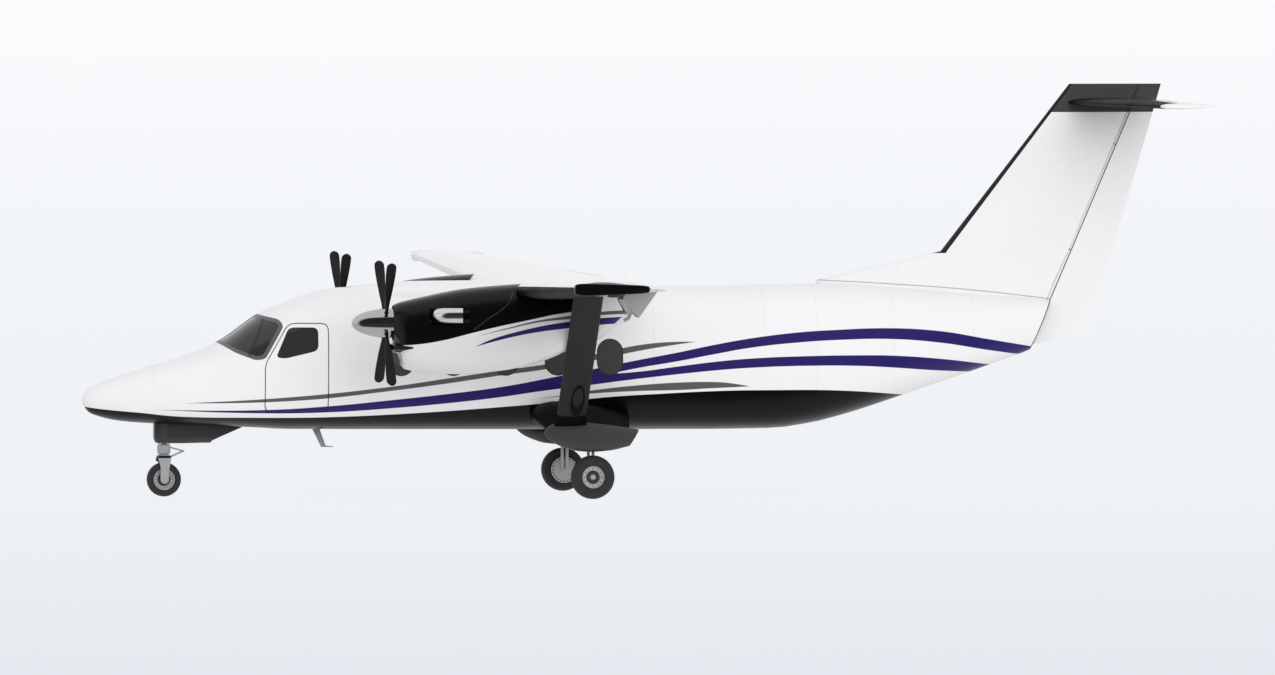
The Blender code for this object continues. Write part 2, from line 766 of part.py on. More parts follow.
def build_engine(side_name, side):
    """The engine as one plain core with its propeller shaft and two exhaust stubs."""
    y = side * NACELLE_Y
    engine = add(
        f"engine_{side_name}",
        rod(at(4.62, y, HUB_HEIGHT), at(ENGINE_END, y, HUB_HEIGHT), ENGINE_RADIUS, 12),
        STEEL,
    )
    shaft = rod(at(4.4253, y, HUB_HEIGHT), at(4.70, y, HUB_HEIGHT), 0.07, 10)
    boolean(engine, add(f"shaft_{side_name}_form", shaft), "UNION")
    for flank in (-1, 1):
        duct = y + flank * EXHAUST_OFFSET
        front, back = at(4.965, duct, EXHAUST_HEIGHT), at(5.39, duct + flank * 0.05, EXHAUST_HEIGHT)
        stub = rod(front, back, EXHAUST_RADIUS, 14)
        pipe = rod(at(5.09, y + flank * 0.1, 2.76), at(5.09, duct, EXHAUST_HEIGHT), 0.10, 8)
        boolean(engine, add(f"stub_{side_name}_{flank}_form", stub), "UNION")
        boolean(engine, add(f"pipe_{side_name}_{flank}_form", pipe), "UNION")
        inside = at(5.17, duct + flank * 0.024, EXHAUST_HEIGHT)
        mouth = at(5.45, duct + flank * 0.056, EXHAUST_HEIGHT)
        bore = rod(inside, mouth, EXHAUST_RADIUS - 0.013, 14)
        boolean(engine, add(f"stub_bore_{side_name}_{flank}", bore))


SPINNER_TIP = 0.51
SPINNER_SHOULDER = -0.05
SPINNER_BACK = -0.145
SPINNER_RADIUS = 0.222
BLADE_TURN = 45.0
BLADE_ROOT = 0.076
SOCKET = BLADE_ROOT + 2.2 * GAP
# radius from the hub, chord, thickness, twist in degrees from the line of flight
BLADE = (
    (0.00, BLADE_ROOT, BLADE_ROOT, 0.0),
    (0.23, BLADE_ROOT, BLADE_ROOT, 0.0),
    (0.32, 0.082, 0.052, 22.0),
    (0.55, 0.108, 0.036, 15.0),
    (0.85, 0.138, 0.026, 7.0),
    (1.10, 0.153, 0.020, 1.0),
    (1.22, 0.148, 0.014, -3.0),
    (1.275, 0.112, 0.012, -4.0),
    (PROP_RADIUS, 0.050, 0.008, -4.0),
)


def blade_loft(rows, y, degrees):
    """Blade sections from one side of the hub to the other, turned about the shaft."""
    turn = math.radians(degrees)
    rings = []
    for r, chord, thick, twist in rows:
        b = math.radians(twist)
        ring = []
        for u, v in arc((0.0, 0.0), 0.5, 0, 360, 8)[:-1]:
            along = u * chord * math.cos(b) - v * thick * math.sin(b)
            across = u * chord * math.sin(b) + v * thick * math.cos(b)
            ring.append(at(
                PROP_STATION + along,
                y + across * math.cos(turn) + r * math.sin(turn),
                HUB_HEIGHT - across * math.sin(turn) + r * math.cos(turn),
            ))
        rings.append(ring)
    return lofted(rings)


def blade_pair(y, degrees):
    """Two opposite blades through the hub as one loft."""
    rows = [(-r, chord, thick, -twist) for r, chord, thick, twist in reversed(BLADE[1:])]
    return blade_loft(rows + list(BLADE), y, degrees)


def build_propeller(side_name, side):
    """Spinner and four feathered blades."""
    y = side * NACELLE_Y
    axis = pivot(f"propeller_{side_name}_axis", at(PROP_STATION, y, HUB_HEIGHT))
    profile = [(0.0, SPINNER_TIP)]
    for i in range(1, 6):
        turn = math.radians(90 * i / 5)
        height = SPINNER_TIP - (SPINNER_TIP - SPINNER_SHOULDER) * (1 - math.cos(turn))
        profile.append((SPINNER_RADIUS * math.sin(turn), height))
    profile += [(SPINNER_RADIUS, SPINNER_BACK), (0.0, SPINNER_BACK)]
    hub = at(PROP_STATION, y, HUB_HEIGHT)
    spinner = lathe(f"spinner_{side_name}", profile, hub, (-1, 0, 0), CHROME, axis, 20)
    blades = add(f"propeller_blades_{side_name}", blade_pair(y, BLADE_TURN), BLACK, axis)
    boolean(blades, add(f"blade_pair_{side_name}_form", blade_pair(y, BLADE_TURN + 90)), "UNION")
    for degrees in (BLADE_TURN, BLADE_TURN + 90):
        socket = blade_loft([(r, SOCKET, SOCKET, 0.0) for r in (-0.26, 0.26)], y, degrees)
        boolean(spinner, add(f"blade_socket_{side_name}_{degrees}", socket))


for side_name, side in SIDES:
    build_nacelle(side_name, side)
    build_engine(side_name, side)
    build_propeller(side_name, side)


# Main gear and wing struts
# station, top, bottom, half width
POD = (
    (6.820, 1.020, 0.990, 0.015),
    (6.860, 1.075, 0.935, 0.060),
    (6.960, 1.140, 0.855, 0.105),
    (7.110, 1.166, 0.785, 0.145),
    (7.290, 1.160, 0.731, 0.170),
    (7.530, 1.148, 0.713, 0.180),
    (7.800, 1.120, 0.730, 0.170),
    (8.100, 1.078, 0.796, 0.140),
    (8.420, 1.015, 0.880, 0.110),
)
POD_Y = 1.98
# Side outline of what is cut away behind the pod's slanted end: station, height
POD_END = ((7.932, 0.50), (8.409, 1.30), (8.90, 1.30), (8.90, 0.50))
# distance from the centre and height of the strut's ends, inside the pod and the wing
STRUT = ((2.00, 1.08), (4.52, 3.20))
STRUT_STATION = 7.21
STRUT_CHORD = 0.45
STRUT_THICKNESS = 0.075
LEG_TUBE_SHIFT = 0.036
LEG_TUBE_RADIUS = 0.024
# distance from the centre, front, back, top, bottom
STUB = (
    (0.55, 6.72, 8.23, 1.475, 1.045),
    (1.00, 6.73, 8.22, 1.455, 1.050),
    (1.97, 6.93, 8.12, 1.150, 0.880),
)


def pod_loft(side, grow=0.0):
    """The gear pod's body."""
    return lofted([
        superellipse(s, side * POD_Y, top + grow, bottom - grow, half + grow, 2.4, 2.4, 20)
        for s, top, bottom, half in POD
    ])


def build_main_gear(side_name, side):
    """Stub fairing, pod, leg with its axle, wheel and tyre."""
    pod = add(f"gear_pod_{side_name}", pod_loft(side), GREY)
    end = prism(POD_END, side * POD_Y - 0.3, side * POD_Y + 0.3)
    boolean(pod, add(f"pod_end_{side_name}", end))
    seat = add(f"pod_seat_{side_name}", pod_loft(side, GAP))
    belly = add(f"belly_seat_{side_name}", fuselage_loft(4.60, 9.45, -GAP))
    stub = add(f"stub_fairing_{side_name}", stub_loft(side), BLACK)
    boolean(stub, belly)
    boolean(stub, seat)

    rings = []
    for y, z in STRUT:
        circle = arc((0.0, 0.0), 0.5, 0, 360, 14)[:-1]
        rings.append([
            at(STRUT_STATION + u * STRUT_CHORD, side * y, z + v * STRUT_THICKNESS) for u, v in circle
        ])
    strut = add(f"wing_strut_{side_name}", lofted(rings), GREY)
    boolean(strut, seat)
    boolean(strut, add(f"strut_wing_seat_{side_name}", wing_loft(side, (3.8, 4.2, 4.9), GAP)))

    inner = MAIN_Y - 0.24
    root = at(MAIN_STATION, side * inner, MAIN_RADIUS)
    tip = at(MAIN_STATION, side * (MAIN_Y + 0.075), MAIN_RADIUS)
    leg = add(f"main_leg_{side_name}", rod(root, tip, AXLE_RADIUS), LIGHT_GREY)
    for shift in (-LEG_TUBE_SHIFT, LEG_TUBE_SHIFT):
        tube = rod(
            at(MAIN_STATION + shift, side * inner, MAIN_RADIUS),
            at(MAIN_STATION + shift, side * (inner - 0.04), 1.08),
            LEG_TUBE_RADIUS,
        )
        boolean(leg, add(f"leg_tube_{side_name}_{shift}", tube), "UNION")
    boolean(leg, add(f"leg_top_{side_name}", stub_loft(side, GAP)))
    boolean(leg, seat)

    axis = pivot(f"main_wheel_{side_name}_axis", at(MAIN_STATION, side * MAIN_Y, MAIN_RADIUS))
    bore = AXLE_RADIUS + 2 * GAP
    build_wheel(f"main_{{}}_{side_name}", axis, side, MAIN_RADIUS, MAIN_RIM, MAIN_WIDTH, bore)


def stub_loft(side, grow=0.0):
    """The stub fairing's body between the belly and the pod."""
    rings = []
    for y, front, back, top, bottom in STUB:
        ring = [
            at(front - grow + x, side * y, (top + bottom) / 2 + z)
            for x, z in airfoil(back - front + 2 * grow, top - bottom + 2 * grow, 0.0, 7)
        ]
        rings.append(ring)
    return lofted(rings)


def build_wheel(names, axis, side, radius, rim, width, bore):
    """Tyre and hub turned on a wheel's axis; the outer face looks away from the middle."""
    centre = world_location(axis)
    half = width / 2
    outer_bead, shoulder = half * 0.80, radius - (radius - rim) * 0.28
    profile = [(rim + GAP, outer_bead), (rim + 0.03, half), (shoulder, half), (radius, half * 0.45)]
    profile += [(r, -z) for r, z in reversed(profile)]
    lathe(names.format("tyre"), profile, centre, (0, side, 0), RUBBER, axis, WHEEL_STEPS, True)
    hub = [
        (bore, half * 0.55), (rim * 0.45, half * 0.55), (rim * 0.62, half * 0.30),
        (rim * 0.86, half * 0.36), (rim, half * 0.78), (rim, -half * 0.78),
        (rim * 0.62, -half * 0.30), (bore, -half * 0.55),
    ]
    lathe(names.format("hub"), hub, centre, (0, side, 0), ALLOY, axis, WHEEL_STEPS, True)


for side_name, side in SIDES:
    build_main_gear(side_name, side)


# Nose gear
def build_nose_gear():
    """Fairing, outer strut tube, steered fork with its torque link, wheel and tyre."""
    rows = (
        # station, bottom, half width
        (1.095, 0.860, 0.100),
        (1.130, 0.810, 0.125),
        (1.500, 0.805, 0.135),
        (1.920, 0.815, 0.115),
        (2.250, 0.940, 0.070),
        (2.430, 1.030, 0.030),
    )
    rings = [superellipse(s, 0.0, 1.20, bottom, half, 3.0, 3.0, 20) for s, bottom, half in rows]
    fairing = add("nose_gear_fairing", lofted(rings), BLACK)
    boolean(fairing, add("nose_belly_seat", fuselage_loft(0.26, 3.63, -GAP)))

    foot, top = at(NOSE_STATION, 0.0, 0.685), at(NOSE_STATION, 0.0, 0.95)
    add("nose_oleo", rod(foot, top, OLEO_RADIUS, 20), LIGHT_GREY)
    shift = Vector((0.0, 0.0, GAP))
    boolean(fairing, add("oleo_seat", rod(foot - shift, top + shift, OLEO_RADIUS + GAP, 20)))
    steering = pivot("nose_steering_axis", at(NOSE_STATION, 0.0, 0.6847))
    fork = add(
        "nose_fork",
        rod(at(NOSE_STATION, 0.0, 0.60), at(NOSE_STATION, 0.0, 0.6847), 0.072, 20),
        LIGHT_GREY,
        steering,
    )
    crown = box(
        (NOSE_STATION - CROWN_HALF, -0.155, 0.555), (NOSE_STATION + CROWN_HALF, 0.155, 0.62)
    )
    boolean(fork, add("fork_crown_form", crown), "UNION")
    for side in (-1, 1):
        low, high = sorted((side * 0.118, side * 0.155))
        leg = link_plate((NOSE_STATION, NOSE_RADIUS), (NOSE_STATION, 0.56), 0.060, low, high)
        boolean(fork, add(f"fork_leg_{side}_form", leg), "UNION")
    ends = [at(NOSE_STATION, y, NOSE_RADIUS) for y in (-0.14, 0.14)]
    boolean(fork, add("nose_axle_form", rod(*ends, NOSE_AXLE_RADIUS, 12)), "UNION")

    collar = add(
        "nose_torque_link",
        rod(at(NOSE_STATION, 0.0, 0.70), at(NOSE_STATION, 0.0, 0.79), 0.112, 20),
        GREY,
        steering,
    )
    apex = (1.545, 0.690)
    for name, low_end in (("upper", (1.34, 0.745)), ("lower", (1.315, 0.590))):
        arm = link_plate(low_end, apex, 0.017, -0.035, 0.035, 6)
        boolean(collar, add(f"link_{name}_form", arm), "UNION")
    bore = rod(at(NOSE_STATION, 0, 0.60), at(NOSE_STATION, 0, 0.9), OLEO_RADIUS + 6 * GAP, 20)
    boolean(collar, add("collar_bore", bore))
    seat = box(
        (NOSE_STATION - CROWN_HALF - GAP, -0.16, 0.555 - GAP),
        (NOSE_STATION + CROWN_HALF + GAP, 0.16, 0.62 + GAP),
    )
    boolean(collar, add("crown_seat", seat))

    axis = pivot("nose_wheel_axis", at(NOSE_STATION, 0.0, NOSE_RADIUS), steering)
    build_wheel("nose_{}", axis, -1, NOSE_RADIUS, NOSE_RIM, NOSE_WIDTH, NOSE_AXLE_RADIUS + 2 * GAP)


build_nose_gear()


# Tail
def hinge_point(height):
    """Station of the rudder's hinge line at a height."""
    t = (height - HINGE_FOOT[1]) / (HINGE_HEAD[1] - HINGE_FOOT[1])
    return HINGE_FOOT[0] + (HINGE_HEAD[0] - HINGE_FOOT[0]) * t


def tail_edge(height):
    """Station of the rudder's trailing edge at a height."""
    t = (height - RUDDER_TE_FOOT[1]) / (RUDDER_TE_HEAD[1] - RUDDER_TE_FOOT[1])
    return RUDDER_TE_FOOT[0] + (RUDDER_TE_HEAD[0] - RUDDER_TE_FOOT[0]) * t


def upright_ring(front, height, thickness):
    """An airfoil ring of the fin, thickness across Y, from its leading to its trailing edge."""
    chord = tail_edge(height) - front
    return [at(front + x, z, height) for x, z in airfoil(chord, thickness, 0.0, 8)]


def rudder_nose(height):
    """Nose radius of the rudder at a height."""
    return 0.055 + (FIN_TOP - height) * 0.004


def build_tail():
    """Fin with its dorsal fillet, rudder, stabilizer and elevators."""
    fin = add("fin", lofted([upright_ring(front, z, t) for front, z, t in FIN]), WHITE)
    tail = bpy.data.objects["tail_section"]

    steps = []
    for height in (2.0, FIN_TOP + 0.1):
        x = hinge_point(height)
        ring = cove_ring((x, 0.0), x + 2.0, rudder_nose(height) + 0.016, 0.6)
        steps.append([at(s, y, height) for s, y in ring])
    space = add("rudder_cove", lofted(steps))
    boolean(fin, space)
    boolean(tail, space)
    boolean(fin, add("fin_seat", fuselage_loft(10.5, FUSELAGE[-1][0], -GAP)))

    axis = pivot("rudder_axis", at(hinge_point(4.2), 0.0, 4.2))
    rings = []
    for hinge_z, back_x, back_z in ((2.262, *RUDDER_TE_FOOT), (FIN_TOP, *RUDDER_TE_HEAD)):
        x = hinge_point(hinge_z)
        ring = surface_ring((x, 0.0), (back_x, 0.0), rudder_nose(hinge_z))
        span = back_x - x
        rings.append([at(s, y, hinge_z + (back_z - hinge_z) * max(0.0, s - x) / span) for s, y in ring])
    rudder = add("rudder", lofted(rings), WHITE, axis)
    line = (at(hinge_point(5.0), 0.0, 5.0) - at(hinge_point(3.0), 0.0, 3.0)).normalized()
    forward = Vector((-line.z, 0.0, line.x))
    for height, carrier in ((2.75, tail), (3.70, fin), (5.30, fin)):
        middle = at(hinge_point(height), 0.0, height)
        for k, (reach, radius) in enumerate(((0.0, 0.040), (0.07, 0.035))):
            centre = middle + forward * reach
            lug = rod(centre - line * 0.01, centre + line * 0.01, radius, 12)
            boolean(carrier, add(f"rudder_lug_{height}_{k}", lug), "UNION")
        thick = line * (0.01 + GAP)
        boolean(rudder, add(f"rudder_slot_{height}", rod(middle - thick, middle + thick, 0.095, 16)))

    stabilizer = add("stabilizer", stabilizer_loft(), WHITE)
    boolean(fin, add("stabilizer_seat", stabilizer_loft(GAP)))
    notch = ((15.96, 0.11), (16.10, 0.20), (17.2, 0.62), (17.2, -0.62), (16.10, -0.20), (15.96, -0.11))
    boolean(stabilizer, add("rudder_sweep", slab(notch, 5.5, 6.4)))
    for side_name, side in SIDES:
        boolean(stabilizer, cove(f"elevator_{side_name}_cove", side, ELEVATOR_SPAN, stab_hinge, 0.2))
        axis = pivot(f"elevator_{side_name}_axis", at(ELEVATOR_HINGE, side * 2.0, STAB_HEIGHT))
        control_surface(f"elevator_{side_name}", side, ELEVATOR_SPAN, stab_hinge, WHITE, axis)


def stabilizer_loft(grow=0.0):
    """The stabilizer's body from tip to tip."""
    rings = []
    for y, front, thickness in STABILIZER:
        chord = STAB_TE - front
        rings.append([
            at(front - grow + x, y, STAB_HEIGHT + z * (1 + 2 * grow / thickness))
            for x, z in airfoil(chord + 2 * grow, thickness, 0.0, 8)
        ])
    return lofted(rings)


def stab_hinge(y):
    """Hinge point, nose radius and trailing edge of an elevator."""
    radius = 0.038 - 0.004 * y / STAB_HALF
    return (ELEVATOR_HINGE, STAB_HEIGHT), radius, (STAB_TE, STAB_HEIGHT)


build_tail()
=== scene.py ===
"""Looks of a high-wing, strut-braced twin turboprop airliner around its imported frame.

Metres, +Z up, ground at z = 0. The nose points to -X and the left wing to -Y. Stations
are metres aft of the nose tip; at() turns a station into world X.
"""

import logging
import math
from collections.abc import Callable, Sequence
from dataclasses import dataclass, field
from enum import Enum

import bpy
from mathutils import Matrix, Vector

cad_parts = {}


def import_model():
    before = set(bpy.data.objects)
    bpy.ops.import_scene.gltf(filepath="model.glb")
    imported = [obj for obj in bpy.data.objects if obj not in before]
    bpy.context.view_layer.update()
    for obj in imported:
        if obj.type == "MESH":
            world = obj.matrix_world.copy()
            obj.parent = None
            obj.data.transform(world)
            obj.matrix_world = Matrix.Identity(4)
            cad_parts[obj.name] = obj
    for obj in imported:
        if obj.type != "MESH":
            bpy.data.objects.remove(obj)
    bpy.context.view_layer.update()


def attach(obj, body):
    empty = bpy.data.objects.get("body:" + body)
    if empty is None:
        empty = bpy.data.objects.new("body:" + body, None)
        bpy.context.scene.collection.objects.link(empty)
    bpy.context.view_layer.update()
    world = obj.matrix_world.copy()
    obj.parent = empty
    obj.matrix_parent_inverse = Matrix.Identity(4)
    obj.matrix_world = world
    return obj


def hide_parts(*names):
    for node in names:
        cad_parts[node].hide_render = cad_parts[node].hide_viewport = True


LOG = logging.getLogger("turboprop_airliner")

Point = tuple[float, float]
Outline = tuple[Point, ...]
Table = tuple[tuple[float, ...], ...]
Ring = list[Vector]
Tree = bpy.types.NodeTree
Socket = bpy.types.NodeSocket
Piece = bpy.types.Object

LENGTH = 16.80
NOSE_X = -LENGTH / 2
HALF_SPAN = 11.01
DIHEDRAL = math.tan(math.radians(1.5))
# Height that the painted curves are scaled by, and width of their edges
PAINT_HEIGHT = 4.0
EDGE_SOFTNESS = 0.004
ALONG_X = Vector((1.0, 0.0, 0.0))
ALONG_Y = Vector((0.0, 1.0, 0.0))
ALONG_Z = Vector((0.0, 0.0, 1.0))


class Side(Enum):
    """The two sides of the aircraft and their signs along Y."""

    LEFT = -1
    RIGHT = 1

    @property
    def word(self) -> str:
        """The side's name in lower case."""
        return self.name.lower()

    def span(self, inner: float, outer: float) -> list[float]:
        """Two distances out to this side as laterals in rising order."""
        return sorted((self.value * inner, self.value * outer))


class Join(Enum):
    """How one body is combined with another."""

    CUT = "DIFFERENCE"
    MERGE = "UNION"
    COMMON = "INTERSECT"


def at(station: float, lateral: float, height: float) -> Vector:
    """World point of a station, a lateral distance (right positive) and a height."""
    return Vector((NOSE_X + station, lateral, height))


# Materials


def hex_colour(code: str) -> tuple[float, float, float, float]:
    """Turns an sRGB hex colour into linear light.

    Args:
        code: Six hex digits, such as "f2f3f5".

    Returns:
        Red, green, blue and an alpha of one.
    """
    values = [int(code[i:i + 2], 16) / 255 for i in (0, 2, 4)]
    linear = [v / 12.92 if v <= 0.04045 else ((v + 0.055) / 1.055) ** 2.4 for v in values]
    return (*linear, 1.0)


def feed(tree: Tree, node: bpy.types.Node, inputs: dict | tuple) -> None:
    """Links sockets to a node's inputs and sets the plain values of the others.

    Args:
        tree: Node tree that the node is in.
        node: The node.
        inputs: Values or sockets, in order or by input name or number.
    """
    for key, value in inputs.items() if isinstance(inputs, dict) else enumerate(inputs):
        if isinstance(value, Socket):
            tree.links.new(value, node.inputs[key])
        else:
            node.inputs[key].default_value = value


def add_node(tree: Tree, kind: str, inputs: dict | tuple = (), **settings: object) -> bpy.types.Node:
    """Adds one node with its settings, values and links.

    Args:
        tree: Node tree that takes the node.
        kind: Node type.
        inputs: Values or sockets, in order or by input name or number.
        **settings: Attributes of the node.

    Returns:
        The new node.
    """
    node = tree.nodes.new(kind)
    for name, value in settings.items():
        setattr(node, name, value)
    feed(tree, node, inputs)
    return node


def plain(tree: Tree, code: str) -> Socket:
    """A socket that gives one sRGB hex colour."""
    node = add_node(tree, "ShaderNodeRGB")
    node.outputs[0].default_value = hex_colour(code)
    return node.outputs[0]


def over(tree: Tree, below: Socket, code: str, mask: Socket) -> Socket:
    """Paints one colour over another where a mask is one."""
    inputs = {0: mask, 6: below, 7: hex_colour(code)}
    return add_node(tree, "ShaderNodeMix", inputs, data_type="RGBA").outputs[2]


def combined(tree: Tree, first: Socket, second: Socket, how: str = "MULTIPLY") -> Socket:
    """Two masks combined by a Math operation and kept between zero and one."""
    return add_node(tree, "ShaderNodeMath", (first, second), operation=how, use_clamp=True).outputs[0]


def soft_edge(tree: Tree, distance: Socket, shift: float = 0.0, sign: float = 1.0) -> Socket:
    """Mask of where a distance plus a shift is above zero; a sign of -1 turns the distance round."""
    inputs = (distance, sign / EDGE_SOFTNESS, shift / EDGE_SOFTNESS + 0.5)
    return add_node(tree, "ShaderNodeMath", inputs, operation="MULTIPLY_ADD", use_clamp=True).outputs[0]


@dataclass(frozen=True)
class Finish:
    """A surface finish: its base colour, gloss, soft mottling and fine grain.

    Colours are sRGB hex. mottle is the share by which the colour varies over patches of
    mottle_mm, grain the bump strength of a texture of grain_mm.
    """

    name: str
    colour: str
    roughness: float
    metallic: float = 0.0
    coat: float = 0.0
    ior: float = 1.5
    mottle_mm: float = 600.0
    mottle: float = 0.012
    grain_mm: float = 12.0
    grain: float = 0.005
    transmission: float = 0.0

    def material(self) -> bpy.types.Material:
        """Builds the material once and returns it.

        Returns:
            The material of this finish.
        """
        made = bpy.data.materials.get(self.name)
        if made is not None:
            return made
        made = bpy.data.materials.new(self.name)
        made.use_nodes = True
        tree = made.node_tree
        place = add_node(tree, "ShaderNodeTexCoord").outputs["Object"]
        patches, relief = (
            add_node(tree, "ShaderNodeTexNoise", {"Vector": place, "Scale": 1000 / size, "Detail": detail})
            for size, detail in ((self.mottle_mm, 4.0), (self.grain_mm, 2.0))
        )
        shade, gloss = (
            add_node(tree, "ShaderNodeMapRange", (patches.outputs[0], 0.3, 0.7, low, high)).outputs[0]
            for low, high in ((1.0 - self.mottle, 1.0), (self.roughness * 0.9, self.roughness * 1.15))
        )
        colours = {0: 1.0, 6: self.pattern(tree, place), 7: shade}
        varied = add_node(tree, "ShaderNodeMix", colours, data_type="RGBA", blend_type="MULTIPLY")
        heights = {"Strength": self.grain, "Distance": self.grain_mm / 4000, "Height": relief.outputs[0]}
        feed(tree, tree.nodes["Principled BSDF"], {
            "Base Color": varied.outputs[2],
            "Roughness": gloss,
            "Normal": add_node(tree, "ShaderNodeBump", heights).outputs[0],
            "Metallic": self.metallic,
            "IOR": self.ior,
            "Coat Weight": self.coat,
            "Coat Roughness": 0.04,
            "Transmission Weight": self.transmission,
        })
        return made

    def pattern(self, tree: Tree, place: Socket) -> Socket:
        """Colour before its mottling: one plain colour here.

        Args:
            tree: The material's node tree.
            place: Object coordinates; not used here.

        Returns:
            A colour socket.
        """
        return plain(tree, self.colour)


class Canvas:
    """Side-view coordinates of a painted surface, with the colour that is on it so far."""

    def __init__(self, tree: Tree, place: Socket, code: str) -> None:
        """Splits object coordinates and lays the ground colour.

        Args:
            tree: The material's node tree.
            place: Object coordinates.
            code: Ground colour in sRGB hex.
        """
        self.tree = tree
        self.colour = plain(tree, code)
        self.x, self.y, self.z = add_node(tree, "ShaderNodeSeparateXYZ", {0: place}).outputs
        share = (self.x, 1 / LENGTH, 0.5)
        self.along = add_node(tree, "ShaderNodeMath", share, operation="MULTIPLY_ADD").outputs[0]
        self.lateral = add_node(tree, "ShaderNodeMath", (self.y,), operation="ABSOLUTE").outputs[0]

    def paint(self, code: str, mask: Socket) -> None:
        """Paints a colour over what is there, where a mask is one."""
        self.colour = over(self.tree, self.colour, code, mask)

    def less(self, mask: Socket, other: Socket) -> Socket:
        """A mask without what another one covers."""
        return combined(self.tree, mask, other, "SUBTRACT")

    def outside(self, mask: Socket) -> Socket:
        """Mask of all that another one doesn't cover."""
        return add_node(self.tree, "ShaderNodeMath", (1.0, mask), operation="SUBTRACT").outputs[0]

    def beyond(self, coordinate: Socket, limit: float) -> Socket:
        """Mask of all that has a coordinate above a limit."""
        return soft_edge(self.tree, coordinate, -limit)

    def aft_of(self, station: float) -> Socket:
        """Mask of all that lies aft of a station."""
        return self.beyond(self.x, NOSE_X + station)

    def over_line(self, first: Socket, second: Socket, slope: float, offset: float) -> Socket:
        """Mask of where first + slope * second + offset is above zero."""
        tilt = add_node(self.tree, "ShaderNodeMath", (second, slope, first), operation="MULTIPLY_ADD")
        return soft_edge(self.tree, tilt.outputs[0], offset)

    def under(self, edge: Sequence[Point], sign: float = 1.0) -> Socket:
        """Mask of what lies below an edge, or above it.

        Args:
            edge: Stations and heights that a smooth curve runs through.
            sign: 1 for below, -1 for above.

        Returns:
            A mask socket.
        """
        curve = add_node(self.tree, "ShaderNodeFloatCurve", {1: self.along})
        line = curve.mapping.curves[0]
        shares = [(station / LENGTH, height / PAINT_HEIGHT) for station, height in edge]
        line.points[0].location = shares[0]
        line.points[1].location = shares[-1]
        for share in shares[1:-1]:
            line.points.new(*share)
        curve.mapping.extend = "HORIZONTAL"
        curve.mapping.update()
        height = add_node(self.tree, "ShaderNodeMath", (curve.outputs[0], PAINT_HEIGHT), operation="MULTIPLY")
        depth = add_node(self.tree, "ShaderNodeMath", (height.outputs[0], self.z), operation="SUBTRACT")
        return soft_edge(self.tree, depth.outputs[0], sign=sign)

    def band(self, upper: Sequence[Point], lower: Sequence[Point]) -> Socket:
        """Mask of a stripe between two edges, as far as the upper edge reaches.

        Args:
            upper: Upper edge, stations and heights.
            lower: Lower edge, stations and heights.

        Returns:
            A mask socket.
        """
        stripe = combined(self.tree, self.under(upper), self.under(lower, -1.0))
        stripe = combined(self.tree, stripe, self.aft_of(upper[0][0]))
        return self.less(stripe, self.aft_of(upper[-1][0]))

    def add_joints(self, stations: Sequence[float]) -> None:
        """Paints faint skin joints round the body at some stations."""
        for station in stations:
            self.paint(SEAM_HEX, self.less(self.aft_of(station), self.aft_of(station + JOINT_WIDTH)))

    def add_rudder_gap_shade(self) -> None:
        """Paints the dark line along the rudder's slanted hinge: painted shade in the gap between fin and
        rudder.
        """
        (foot, low), (head, high) = RUDDER_HINGE
        lean = (head - foot) / (high - low)
        start = -(NOSE_X + foot) + lean * low
        ahead, behind = (self.over_line(self.x, self.z, -lean, start + shift) for shift in RUDDER_GAP_SHADE)
        self.paint(GAP_SHADE_HEX, self.less(ahead, behind))


WHITE_HEX = "f6f6f7"
BLACK_HEX = "090909"
STRIPE_GREY_HEX = "5f5f61"
INDIGO_HEX = "2a2169"
SEAM_HEX = "e3e4e5"
# Grey of painted shade in the gaps round the rudder and the doors
GAP_SHADE_HEX = "464648"
CAP_HEX = "454547"
SPLIT_HEX = "3a3a3c"
# Grey of the painted shadow along the fin's foot
FIN_FOOT_SHADOW_HEX = "b4b4b6"
# Foot and head of the rudder's hinge, and how far ahead of it the dark line of painted shade in the gap
# starts and ends
RUDDER_HINGE = ((14.5, 2.25), (16.207, 6.23))
RUDDER_GAP_SHADE = (0.016, -0.001)
# A real joint is about 1 mm wide; it is drawn wider and faint so that it shows
JOINT_WIDTH = 0.005


